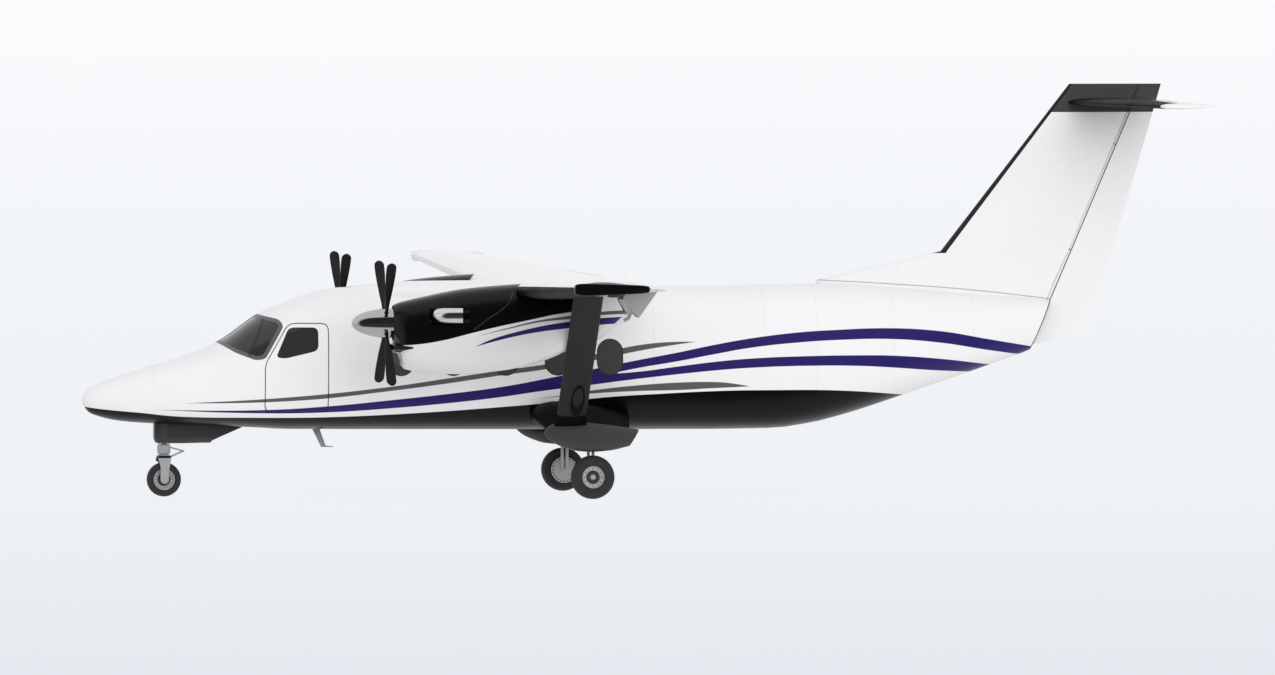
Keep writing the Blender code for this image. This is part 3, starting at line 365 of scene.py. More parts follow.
@dataclass(frozen=True)
class FuselagePaint(Finish):
    """Gloss white enamel with its black belly, indigo and grey stripes and faint frame joints."""

    belly: Outline = (
        (0.0, 1.375), (0.16, 1.348), (0.39, 1.323), (0.88, 1.28), (1.25, 1.24), (1.57, 1.221),
        (2.49, 1.21), (3.24, 1.21), (3.67, 1.217), (5.0, 1.277), (6.01, 1.345), (7.15, 1.438),
        (8.0, 1.52), (8.6, 1.555), (9.68, 1.603), (10.4, 1.61), (11.41, 1.6), (12.46, 1.521), (13.4, 1.4),
    )
    grey_high_top: Outline = (
        (1.48, 1.432), (3.22, 1.536), (4.64, 1.686), (5.49, 1.808), (6.26, 1.92), (6.99, 2.02),
        (7.72, 2.166), (8.38, 2.3), (8.73, 2.338), (9.25, 2.348),
    )
    grey_high_foot: Outline = (
        (1.48, 1.432), (3.22, 1.474), (4.64, 1.622), (5.49, 1.732), (6.26, 1.845), (6.99, 1.943),
        (7.72, 2.075), (8.38, 2.213), (8.73, 2.272), (9.25, 2.348),
    )
    indigo_top: Outline = (
        (1.06, 1.334), (2.7, 1.33), (3.65, 1.385), (4.64, 1.48), (5.5, 1.572), (6.26, 1.669),
        (7.17, 1.836), (7.68, 1.938), (8.38, 2.076), (8.95, 2.182), (9.53, 2.3), (10.11, 2.4),
        (10.85, 2.487), (11.4, 2.519), (12.24, 2.54), (12.99, 2.493), (13.78, 2.362), (14.9, 2.17),
    )
    indigo_foot: Outline = (
        (1.06, 1.334), (2.7, 1.279), (3.66, 1.293), (4.65, 1.355), (5.5, 1.43), (6.26, 1.516),
        (6.84, 1.6), (7.68, 1.703), (8.12, 1.76), (8.95, 1.854), (9.53, 1.911), (10.11, 1.952),
        (11.0, 1.978), (11.79, 1.97), (12.24, 1.945), (13.01, 1.889), (14.9, 1.8),
    )
    fork_top: Outline = (
        (7.93, 1.865), (8.38, 1.956), (8.95, 2.05), (9.53, 2.158), (10.11, 2.258), (10.85, 2.334),
        (11.4, 2.366), (12.24, 2.376), (12.99, 2.318), (13.79, 2.194), (14.9, 2.04),
    )
    fork_foot: Outline = (
        (7.93, 1.865), (8.38, 1.898), (8.95, 1.971), (9.53, 2.042), (10.11, 2.092), (11.0, 2.125),
        (11.79, 2.132), (12.24, 2.125), (13.0, 2.071), (13.76, 1.98), (14.9, 1.84),
    )
    grey_low_top: Outline = (
        (6.71, 1.476), (7.18, 1.539), (7.64, 1.612), (8.36, 1.69), (9.03, 1.732), (9.45, 1.738),
        (9.68, 1.728), (10.07, 1.668),
    )
    grey_low_foot: Outline = (
        (6.71, 1.476), (7.18, 1.525), (7.64, 1.567), (8.36, 1.603), (9.03, 1.618), (9.45, 1.64),
        (9.68, 1.65), (10.07, 1.668),
    )
    joints: tuple[float, ...] = (1.05, 4.28, 5.95, 8.60, 10.30, 11.10, 12.30, 13.55)

    def pattern(self, tree: Tree, place: Socket) -> Socket:
        """White with the painted bands on it.

        Args:
            tree: The material's node tree.
            place: Object coordinates.

        Returns:
            A colour socket.
        """
        canvas = Canvas(tree, place, self.colour)
        canvas.add_joints(self.joints)
        canvas.paint(STRIPE_GREY_HEX, canvas.band(self.grey_high_top, self.grey_high_foot))
        canvas.paint(STRIPE_GREY_HEX, canvas.band(self.grey_low_top, self.grey_low_foot))
        indigo = canvas.band(self.indigo_top, self.indigo_foot)
        canvas.paint(INDIGO_HEX, canvas.less(indigo, canvas.band(self.fork_top, self.fork_foot)))
        canvas.paint(BLACK_HEX, canvas.under(self.belly))
        # Painted shade in the rudder's gap
        canvas.add_rudder_gap_shade()
        return canvas.colour


@dataclass(frozen=True)
class NacellePaint(Finish):
    """Gloss white cowl under a black top, with a thin grey and an indigo stripe."""

    split: Outline = (
        (4.3, 2.372), (4.68, 2.385), (5.08, 2.445), (5.51, 2.552), (5.94, 2.655), (6.37, 2.744),
        (6.94, 2.853), (7.55, 2.92), (8.3, 2.97),
    )
    grey_top: Outline = (
        (5.58, 2.5), (6.1, 2.64), (6.59, 2.752), (7.03, 2.812), (7.51, 2.872), (7.9, 2.89),
    )
    grey_foot: Outline = (
        (5.58, 2.5), (6.1, 2.622), (6.59, 2.722), (7.03, 2.764), (7.51, 2.82), (7.9, 2.832),
    )
    indigo_top: Outline = (
        (5.59, 2.351), (5.89, 2.483), (6.32, 2.6), (6.59, 2.658), (6.9, 2.708), (7.51, 2.775),
        (7.85, 2.792),
    )
    indigo_foot: Outline = (
        (5.59, 2.351), (5.89, 2.435), (6.32, 2.533), (6.59, 2.577), (6.9, 2.614), (7.51, 2.675),
        (7.85, 2.69),
    )
    # Edge of the engine doors on the black
    door_edge: Outline = (
        (5.56, 2.61), (5.772, 2.771), (5.99, 2.917), (6.12, 3.05), (6.165, 3.16), (6.174, 3.29),
    )
    door_width: float = 0.009
    black_end: float = 7.47
    # Slanted end of the indigo stripe: a point on it, and how far it leans forward per metre down
    indigo_end: Point = (7.78, 2.74)
    indigo_lean: float = 1.1

    def pattern(self, tree: Tree, place: Socket) -> Socket:
        """White below and black above, with two stripes.

        Args:
            tree: The material's node tree.
            place: Object coordinates.

        Returns:
            A colour socket.
        """
        canvas = Canvas(tree, place, self.colour)
        canvas.paint(STRIPE_GREY_HEX, canvas.band(self.grey_top, self.grey_foot))
        station, height = self.indigo_end
        offset = self.indigo_lean * height - (NOSE_X + station)
        past = canvas.over_line(canvas.x, canvas.z, -self.indigo_lean, offset)
        canvas.paint(INDIGO_HEX, canvas.less(canvas.band(self.indigo_top, self.indigo_foot), past))
        black = canvas.outside(canvas.under(self.split))
        canvas.paint(BLACK_HEX, canvas.less(black, canvas.aft_of(self.black_end)))
        foot = [(station + self.door_width, height - self.door_width) for station, height in self.door_edge]
        canvas.paint(SPLIT_HEX, canvas.band(self.door_edge, foot))
        return canvas.colour


@dataclass(frozen=True)
class WingPaint(Finish):
    """Gloss white wing with black tip caps, and black painted as shade under the outer panels."""

    # Black painted as shade under the outer panels: from this distance out, below the chord plane, ahead of
    # this station
    underside_shade_start: float = 3.50
    under_height: float = 3.08
    underside_shade_aft: float = 7.30
    # The left cap is black from here, the right one on its end face alone
    tip_start: float = 10.865
    end_face: float = 11.004

    def pattern(self, tree: Tree, place: Socket) -> Socket:
        """White, with black painted as shade below the outer panels, and black at the tips.

        Args:
            tree: The material's node tree.
            place: Object coordinates.

        Returns:
            A colour socket.
        """
        canvas = Canvas(tree, place, self.colour)
        # Painted shade: black below the outer panels
        under = canvas.beyond(canvas.lateral, self.underside_shade_start)
        for mask in (
            canvas.over_line(canvas.z, canvas.lateral, -DIHEDRAL, -self.under_height),
            canvas.aft_of(self.underside_shade_aft), canvas.beyond(canvas.lateral, self.tip_start),
        ):
            under = canvas.less(under, mask)
        tip = canvas.beyond(canvas.lateral, self.end_face)
        cap = canvas.outside(canvas.beyond(canvas.y, -self.tip_start))
        canvas.paint(BLACK_HEX, combined(tree, combined(tree, under, tip, "MAXIMUM"), cap, "MAXIMUM"))
        return canvas.colour


@dataclass(frozen=True)
class FinPaint(Finish):
    """Gloss white fin and rudder with a black boot along the leading edge and a black cap."""

    edge_foot: Point = (13.12, 3.69)
    edge_head: Point = (15.02, 6.13)
    # Width of the boot along the stations, at its foot and at its head
    boot_foot: float = 0.090
    boot_head: float = 0.046
    # Distance that it reaches below the edge's foot
    boot_drop: float = 0.03
    cap_height: float = 5.80
    # Line where the fin meets the body, with a grey band of painted shadow below it
    base: Outline = ((11.15, 3.270), (12.30, 3.205), (13.43, 3.122), (14.80, 2.965))
    base_shadow_width: float = 0.016

    def pattern(self, tree: Tree, place: Socket) -> Socket:
        """White, black along the edge and above the cap's line, with painted shade in the rudder's gap and
        painted shadow along the fin's foot.

        Args:
            tree: The material's node tree.
            place: Object coordinates.

        Returns:
            A colour socket.
        """
        canvas = Canvas(tree, place, self.colour)
        # Painted shade in the rudder's gap
        canvas.add_rudder_gap_shade()
        # Painted shadow: a grey band along the fin's foot
        seam = [(station, height - self.base_shadow_width) for station, height in self.base]
        canvas.paint(FIN_FOOT_SHADOW_HEX, canvas.band(self.base, seam))
        canvas.paint(CAP_HEX, canvas.beyond(canvas.z, self.cap_height))
        foot, head = self.edge_foot[0] + self.boot_foot, self.edge_head[0] + self.boot_head
        lean = (head - foot) / (self.edge_head[1] - self.edge_foot[1])
        aft = canvas.over_line(canvas.x, canvas.z, -lean, lean * self.edge_foot[1] - NOSE_X - foot)
        canvas.paint(BLACK_HEX, canvas.less(canvas.beyond(canvas.z, self.edge_foot[1] - self.boot_drop), aft))
        return canvas.colour


@dataclass(frozen=True)
class StabilizerPaint(Finish):
    """Gloss black stabilizer with white tips."""

    tip_start: float = 3.88

    def pattern(self, tree: Tree, place: Socket) -> Socket:
        """Black, white at the tips.

        Args:
            tree: The material's node tree.
            place: Object coordinates.

        Returns:
            A colour socket.
        """
        canvas = Canvas(tree, place, BLACK_HEX)
        canvas.paint(self.colour, canvas.beyond(canvas.lateral, self.tip_start))
        return canvas.colour


# Sprayed two-pack enamel, polished: even and wet-looking
GLOSS_WHITE = Finish("gloss_white_enamel", WHITE_HEX, 0.28, ior=1.40)
FUSELAGE_PAINT = FuselagePaint("fuselage_enamel", WHITE_HEX, 0.30, ior=1.30)
# The cowl's white is greyer than the body's white as painted shade
NACELLE_PAINT = NacellePaint("nacelle_enamel", "e4e4e5", 0.28, ior=1.32)
WING_PAINT = WingPaint("wing_enamel", WHITE_HEX, 0.22, ior=1.48, mottle=0.0, grain=0.0)
FIN_PAINT = FinPaint("fin_enamel", WHITE_HEX, 0.28, ior=1.40)
STABILIZER_PAINT = StabilizerPaint("stabilizer_enamel", WHITE_HEX, 0.60, ior=1.16)
# Black enamel that shows a soft sheen of the sky
GLOSS_BLACK = Finish("gloss_black_enamel", BLACK_HEX, 0.32, ior=1.38)
NOSE_BLACK = Finish("fairing_black_enamel", "3b3b3c", 0.32, ior=1.38)
# Satin charcoal enamel, less reflective than the black
CHARCOAL = Finish("satin_charcoal_enamel", "212122", 0.45, ior=1.28)
SATIN_BLACK = Finish("satin_black_enamel", "060606", 0.55, ior=1.15)
# Rubber boots that crack ice off the wing's nose; this black one, on the left wing alone, is painted shade
LEFT_BOOT_SHADE_BLACK = Finish("deicing_boot_rubber", "0b0b0c", 0.60, ior=1.18)
PALE_BOOT = Finish("pale_boot_enamel", "eeeeef", 0.45, ior=1.30)
MATT_BLACK = Finish("matt_black_primer", "0a0a0a", 0.85, ior=1.30)
POD_GREY = Finish("satin_slate_enamel", "424243", 0.45, ior=1.34)
# Epoxy enamel on the forgings of the legs
LEG_GREY = Finish("epoxy_leg_enamel", "a5a7aa", 0.36, ior=1.45, grain_mm=4.0, grain=0.05)
# Polished aluminium, near a mirror with faint swirl
MIRROR_ALLOY = Finish("polished_aluminium", "bcbcbe", 0.08, metallic=1.0, mottle=0.05, grain=0.01)
# Ground steel of the shock strut
GROUND_STEEL = Finish("ground_steel", "b4b5b8", 0.28, metallic=0.8, mottle=0.05, grain=0.02)
# Heat-tinted nickel alloy of the exhausts
EXHAUST_ALLOY = Finish("heat_tinted_nickel", "dddbd7", 0.15, metallic=1.0, mottle=0.05, mottle_mm=90.0)
# Soot on the engine's core; on hubs and brakes the same dark is painted shade in holes
SOOT_AND_HOLE_SHADE = Finish("sooted_steel", "201d1b", 0.65, metallic=0.4, mottle=0.3, mottle_mm=60.0)
# Cast and machined wheel alloy under clear lacquer
CAST_ALLOY = Finish(
    "cast_wheel_alloy", "c9c9c9", 0.38, metallic=0.3, mottle=0.08, mottle_mm=40.0, grain=0.08
)
# Dark grey ring painted as shade in the hub's recess
RECESS_SHADE_GREY = Finish(
    "shot_peened_recess", "4c4d4f", 0.55, metallic=0.3, mottle=0.25, mottle_mm=14.0, grain=0.1
)
DARK_STEEL = Finish("blackened_steel", "3a3b3d", 0.42, metallic=0.8, mottle=0.10, mottle_mm=40.0)
# Moulded tyre rubber: matt, slightly dusty
TYRE_RUBBER = Finish(
    "moulded_tyre_rubber", "343436", 0.78, mottle=0.25, mottle_mm=70.0, grain_mm=2.0, grain=0.15
)
SEAL_RUBBER = Finish("extruded_seal_rubber", "2a2a2c", 0.70, mottle=0.10, grain=0.05)
# Composite blades under erosion-resistant satin black
BLADE_BLACK = Finish("satin_blade_coating", "0f0f10", 0.42, ior=1.28, mottle=0.08, mottle_mm=120.0)
# Smoked acrylic glazing
SMOKED_ACRYLIC = Finish(
    "smoked_acrylic", "404042", 0.05, ior=1.45, mottle=0.02, grain=0.004, transmission=0.35
)
WINDOW_ACRYLIC = Finish("dark_cabin_acrylic", "484849", 0.08, ior=1.42, mottle=0.02, grain=0.004)
FRAME_GREY = Finish("satin_frame_grey", "616163", 0.40, ior=1.40)
# Grey of the nacelle's tail: painted shade under the wing
NACELLE_TAIL_SHADE_GREY = Finish("flap_grey_enamel", "a9a9aa", 0.38, ior=1.40)
AERIAL_GREY = Finish("aerial_grey_enamel", "9a9a9c", 0.40, ior=1.40)
# Grey of the door's rim: painted shade along the seam
SEAM_SHADE_GREY = Finish("satin_seam_grey", GAP_SHADE_HEX, 0.50, ior=1.40)
POST_GREY = Finish("satin_post_grey", "2b2b2c", 0.40, ior=1.40)
SEAT_LEATHER = Finish(
    "pigmented_leather", "3c3833", 0.55, mottle=0.12, mottle_mm=80.0, grain_mm=3.0, grain=0.35
)
PANEL_PLASTIC = Finish("moulded_panel_plastic", "26272a", 0.55, mottle=0.05, grain_mm=1.5, grain=0.2)
SCREEN_GLASS = Finish("display_glass", "0b0d12", 0.08, coat=0.5, mottle=0.02)
CLEAR_LENS = Finish("clear_lens", "e8ecf0", 0.05, ior=1.49, transmission=0.7, mottle=0.0)
RED_LENS = Finish("red_lens", "a3161c", 0.10, coat=0.5, mottle=0.0)
GREEN_LENS = Finish("green_lens", "167a3c", 0.10, coat=0.5, mottle=0.0)


# Modelling tools

# Points closer than this become one
WELD = 0.00002
# Laterals between which a cutter takes in the whole body
ACROSS = (-1.5, 1.5)


def deselect() -> None:
    """Leaves object mode with nothing selected."""
    if bpy.context.object is not None and bpy.context.object.mode != "OBJECT":
        bpy.ops.object.mode_set(mode="OBJECT")
    bpy.ops.object.select_all(action="DESELECT")


def primitive(name: str, operator: Callable[..., object], **settings: object) -> Piece:
    """A new piece made by one of the operators that add a mesh.

    Args:
        name: Name of the new object.
        operator: The operator.
        **settings: What the operator is given.

    Returns:
        The new object.
    """
    deselect()
    operator(**settings)
    obj = bpy.context.object
    obj.name = name
    return obj


def activate(obj: Piece) -> None:
    """Selects one object alone and makes it active."""
    deselect()
    obj.select_set(True)
    bpy.context.view_layer.objects.active = obj


def edit(obj: Piece, *steps: Callable[[], object]) -> None:
    """Runs edit-mode operators on the whole of a mesh.

    Args:
        obj: Mesh object.
        *steps: Calls of edit-mode operators.
    """
    activate(obj)
    bpy.ops.object.mode_set(mode="EDIT")
    for step in steps:
        bpy.ops.mesh.select_all(action="SELECT")
        step()
    bpy.ops.object.mode_set(mode="OBJECT")


def skin(name: str, rings: Sequence[Ring]) -> Piece:
    """A closed body skinned through rings of equal length, shaped from a grid.

    Args:
        name: Name of the new object.
        rings: Closed rings of world points, from one end to the other.

    Returns:
        The new object.
    """
    rows, columns = len(rings), len(rings[0])
    obj = primitive(name, bpy.ops.mesh.primitive_grid_add, x_subdivisions=columns, y_subdivisions=rows - 1)
    for row, ring in enumerate(rings):
        for column in range(columns + 1):
            obj.data.vertices[row * (columns + 1) + column].co = ring[column % columns]
    edit(
        obj,
        lambda: bpy.ops.mesh.remove_doubles(threshold=WELD),
        lambda: bpy.ops.mesh.fill_holes(sides=0),
        lambda: bpy.ops.mesh.normals_make_consistent(inside=False),
    )
    return obj


def slab(name: str, outline: Sequence[Point], left: float, right: float) -> Piece:
    """A side outline (station, height) carried across from one lateral to another."""
    return skin(name, [[at(s, y, z) for s, z in outline] for y in (left, right)])


def rod(
    name: str, start: Vector, end: Vector, radius: float, segments: int = 32, end_radius: float | None = None
) -> Piece:
    """A cylinder or cone between two world points.

    Args:
        name: Name of the new object.
        start: Middle of the first end.
        end: Middle of the second end.
        radius: Radius at the start.
        segments: Number of sides.
        end_radius: Radius at the end, the same if left out.

    Returns:
        The new object.
    """
    axis = end - start
    obj = primitive(
        name, bpy.ops.mesh.primitive_cone_add, vertices=segments, radius1=radius,
        radius2=radius if end_radius is None else end_radius, depth=axis.length, location=(start + end) / 2,
    )
    obj.rotation_mode = "QUATERNION"
    obj.rotation_quaternion = ALONG_Z.rotation_difference(axis.normalized())
    activate(obj)
    bpy.ops.object.transform_apply(location=True, rotation=True, scale=True)
    return obj


def cross_rod(name: str, place: Point, span: Sequence[float], radius: float, segments: int) -> Piece:
    """A cylinder straight across at a station and a height, from one lateral to another."""
    station, height = place
    return rod(name, *(at(station, y, height) for y in span), radius, segments)


def modified(obj: Piece, kind: str, **settings: object) -> Piece:
    """Applies one modifier with its settings to a piece.

    Args:
        obj: The piece.
        kind: Type of the modifier.
        **settings: Attributes of the modifier.

    Returns:
        The same piece.
    """
    activate(obj)
    modifier = obj.modifiers.new("change", kind)
    for name, value in settings.items():
        setattr(modifier, name, value)
    bpy.ops.object.modifier_apply(modifier=modifier.name)
    return obj


def combine(obj: Piece, other: Piece, how: Join) -> Piece:
    """Applies a Boolean between a body that stays and one that is used up.

    Args:
        obj: Body that stays.
        other: Body that is used up.
        how: Kind of Boolean.

    Returns:
        The body that stays.
    """
    modified(obj, "BOOLEAN", operation=how.value, object=other, solver="EXACT")
    bpy.data.objects.remove(other, do_unlink=True)
    return obj


def soften(obj: Piece, width: float, segments: int = 2) -> Piece:
    """Rounds the sharp edges of a body and applies it."""
    limit = {"limit_method": "ANGLE", "angle_limit": math.radians(30.0)}
    return modified(obj, "BEVEL", width=width, segments=segments, harden_normals=False, **limit)


def merge(name: str, *pieces: Piece) -> Piece:
    """Joins separate bodies into one piece with a name."""
    first = pieces[0]
    activate(first)
    for other in pieces[1:]:
        other.select_set(True)
    if len(pieces) > 1:
        bpy.ops.object.join()
    first.name = name
    return first


def twin(obj: Piece, name: str, change: Matrix) -> Piece:
    """A copy of a piece with its own mesh, placed by a matrix; a mirrored copy is turned outwards.

    Args:
        obj: Piece that is copied.
        name: Name of the copy.
        change: World matrix applied to its mesh.

    Returns:
        The copy.
    """
    copy = obj.copy()
    copy.data = obj.data.copy()
    copy.name = name
    bpy.context.scene.collection.objects.link(copy)
    copy.data.transform(change)
    if change.determinant() < 0:
        copy.data.flip_normals()
    return copy


def smooth_copy(node: str, name: str, angle: float = 30.0) -> Piece:
    """A merged, smoothly shaded copy of a CAD node.

    Args:
        node: Name of the CAD node.
        name: Name of the copy.
        angle: Edges sharper than this many degrees stay sharp.

    Returns:
        The copy.
    """
    source = bpy.data.objects[node]
    copy = bpy.data.objects.new(name, source.data.copy())
    bpy.context.scene.collection.objects.link(copy)
    copy.data.materials.clear()
    edit(copy, lambda: bpy.ops.mesh.remove_doubles(threshold=0.00005))
    return shaded(copy, angle)


def shaded(obj: Piece, angle: float = 30.0) -> Piece:
    """Shades a piece smooth, with edges sharper than an angle left sharp."""
    activate(obj)
    bpy.ops.object.shade_smooth_by_angle(angle=math.radians(angle))
    return obj


def weighted(obj: Piece) -> Piece:
    """Lets the large faces of a smooth piece set its normals, so that flat skins stay flat."""
    return modified(obj, "WEIGHTED_NORMAL", keep_sharp=True)


def dress(obj: Piece, finish: Finish, body: str, slot: str, *replaced: str) -> Piece:
    """Gives a finished piece its finish, the body that it rides on and the nodes it stands for.

    Args:
        obj: The piece.
        finish: Its finish.
        body: CAD body that it moves with.
        slot: Material slot of the record; not used.
        *replaced: CAD nodes that it stands for.

    Returns:
        The piece.
    """
    obj.data.materials.clear()
    obj.data.materials.append(finish.material())
    for polygon in obj.data.polygons:
        polygon.material_index = 0
    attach(obj, body)
    if replaced:
        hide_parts(*replaced)
    LOG.info("%s rides on %s", obj.name, body)
    return obj


def fixed(obj: Piece, angle: float, finish: Finish, slot: str, *replaced: str) -> Piece:
    """Shades a piece smooth up to an angle and dresses it as part of the airframe."""
    return dress(shaded(obj, angle), finish, "airframe", slot, *replaced)


# Outlines


def arc(centre: Point, radius: float, start: float, end: float, steps: int) -> list[Point]:
    """Points on an arc in a plane, angles in degrees."""
    angles = [math.radians(start + (end - start) * i / steps) for i in range(steps + 1)]
    return [(centre[0] + radius * math.cos(a), centre[1] + radius * math.sin(a)) for a in angles]


def circle(count: int) -> list[Point]:
    """Evenly spaced points of a circle of radius one."""
    angles = [2 * math.pi * i / count for i in range(count)]
    return [(math.cos(a), math.sin(a)) for a in angles]


def inset(outline: Sequence[Point], distance: float) -> list[Point]:
    """A convex outline moved inwards by a distance, or outwards by a negative one."""
    count = len(outline)
    area = sum(
        outline[i][0] * outline[(i + 1) % count][1] - outline[(i + 1) % count][0] * outline[i][1]
        for i in range(count)
    )
    side = 1.0 if area > 0 else -1.0
    lines = []
    for i in range(count):
        a, b = Vector(outline[i]), Vector(outline[(i + 1) % count])
        along = (b - a).normalized()
        lines.append((a + Vector((-along.y, along.x)) * side * distance, along))
    moved = []
    for i in range(count):
        (p, u), (q, v) = lines[i - 1], lines[i]
        moved.append(tuple(p + u * ((q - p).cross(v) / u.cross(v))))
    return moved


def rounded(outline: Sequence[Point], radius: float, steps: int = 6) -> list[Point]:
    """A convex outline with each corner turned into a small curve."""
    smooth = []
    count = len(outline)
    for i in range(count):
        before, corner, after = (Vector(outline[(i + k) % count]) for k in (-1, 0, 1))
        reach = min(radius, (before - corner).length * 0.45, (after - corner).length * 0.45)
        start = corner + (before - corner).normalized() * reach
        end = corner + (after - corner).normalized() * reach
        for k in range(steps + 1):
            t = k / steps
            smooth.append(tuple(start * (1 - t) ** 2 + corner * 2 * t * (1 - t) + end * t * t))
    return smooth


def superellipse(station: float, lateral: float, row: Sequence[float], count: int) -> Ring:
    """A ring across the X axis.

    Args:
        station: Station of the ring.
        lateral: Its middle across.
        row: Top, bottom, half width, upper and lower roundness (2 is an ellipse).
        count: Number of points.

    Returns:
        World points round the ring.
    """
    top, bottom, half_width, upper, lower = row
    middle, half_height = (top + bottom) / 2, (top - bottom) / 2
    ring = []
    for c, s in circle(count):
        power = 2 / (upper if s >= 0 else lower)
        y = half_width * math.copysign(abs(c) ** power, c)
        z = half_height * math.copysign(abs(s) ** power, s)
        ring.append(at(station, lateral + y, middle + z))
    return ring


def spread(first: float, last: float, count: int, power: float = 1.0) -> list[float]:
    """Values from the first to the last in a number of steps, closer at the start with a power above one."""
    return [first + (last - first) * (i / count) ** power for i in range(count + 1)]


def faired(table: Sequence[Sequence[float]], value: float, rooted: bool = False) -> list[float]:
    """A table's row at any value of its first column, on smooth curves without overshoot.

    Args:
        table: Rows in rising order of their first column.
        value: Value of the first column.
        rooted: Whether the curves run in the square root of that column, for a round nose.

    Returns:
        The row without its first column.
    """
    def warp(x: float) -> float:
        return math.sqrt(max(x - table[0][0], 0.0)) if rooted else x

    knots = [warp(row[0]) for row in table]
    last = len(knots) - 1
    u = min(max(warp(value), knots[0]), knots[-1])
    k = next(i for i in range(last) if u <= knots[i + 1] + 1e-9)
    h = knots[k + 1] - knots[k]
    t = (u - knots[k]) / h
    made = []
    for column in range(1, len(table[0])):
        slopes = [(table[i + 1][column] - table[i][column]) / (knots[i + 1] - knots[i]) for i in range(last)]
        ends = []
        for i in (k, k + 1):
            if i in (0, last):
                ends.append(slopes[min(i, last - 1)])
                continue
            before, after = slopes[i - 1], slopes[i]
            ends.append(2 * before * after / (before + after) if before * after > 0 else 0.0)
        a, b = table[k][column], table[k + 1][column]
        made.append(
            a * (2 * t ** 3 - 3 * t ** 2 + 1) + b * (3 * t ** 2 - 2 * t ** 3)
            + h * ends[0] * (t ** 3 - 2 * t ** 2 + t) + h * ends[1] * (t ** 3 - t ** 2)
        )
    return made


# Sub-assemblies


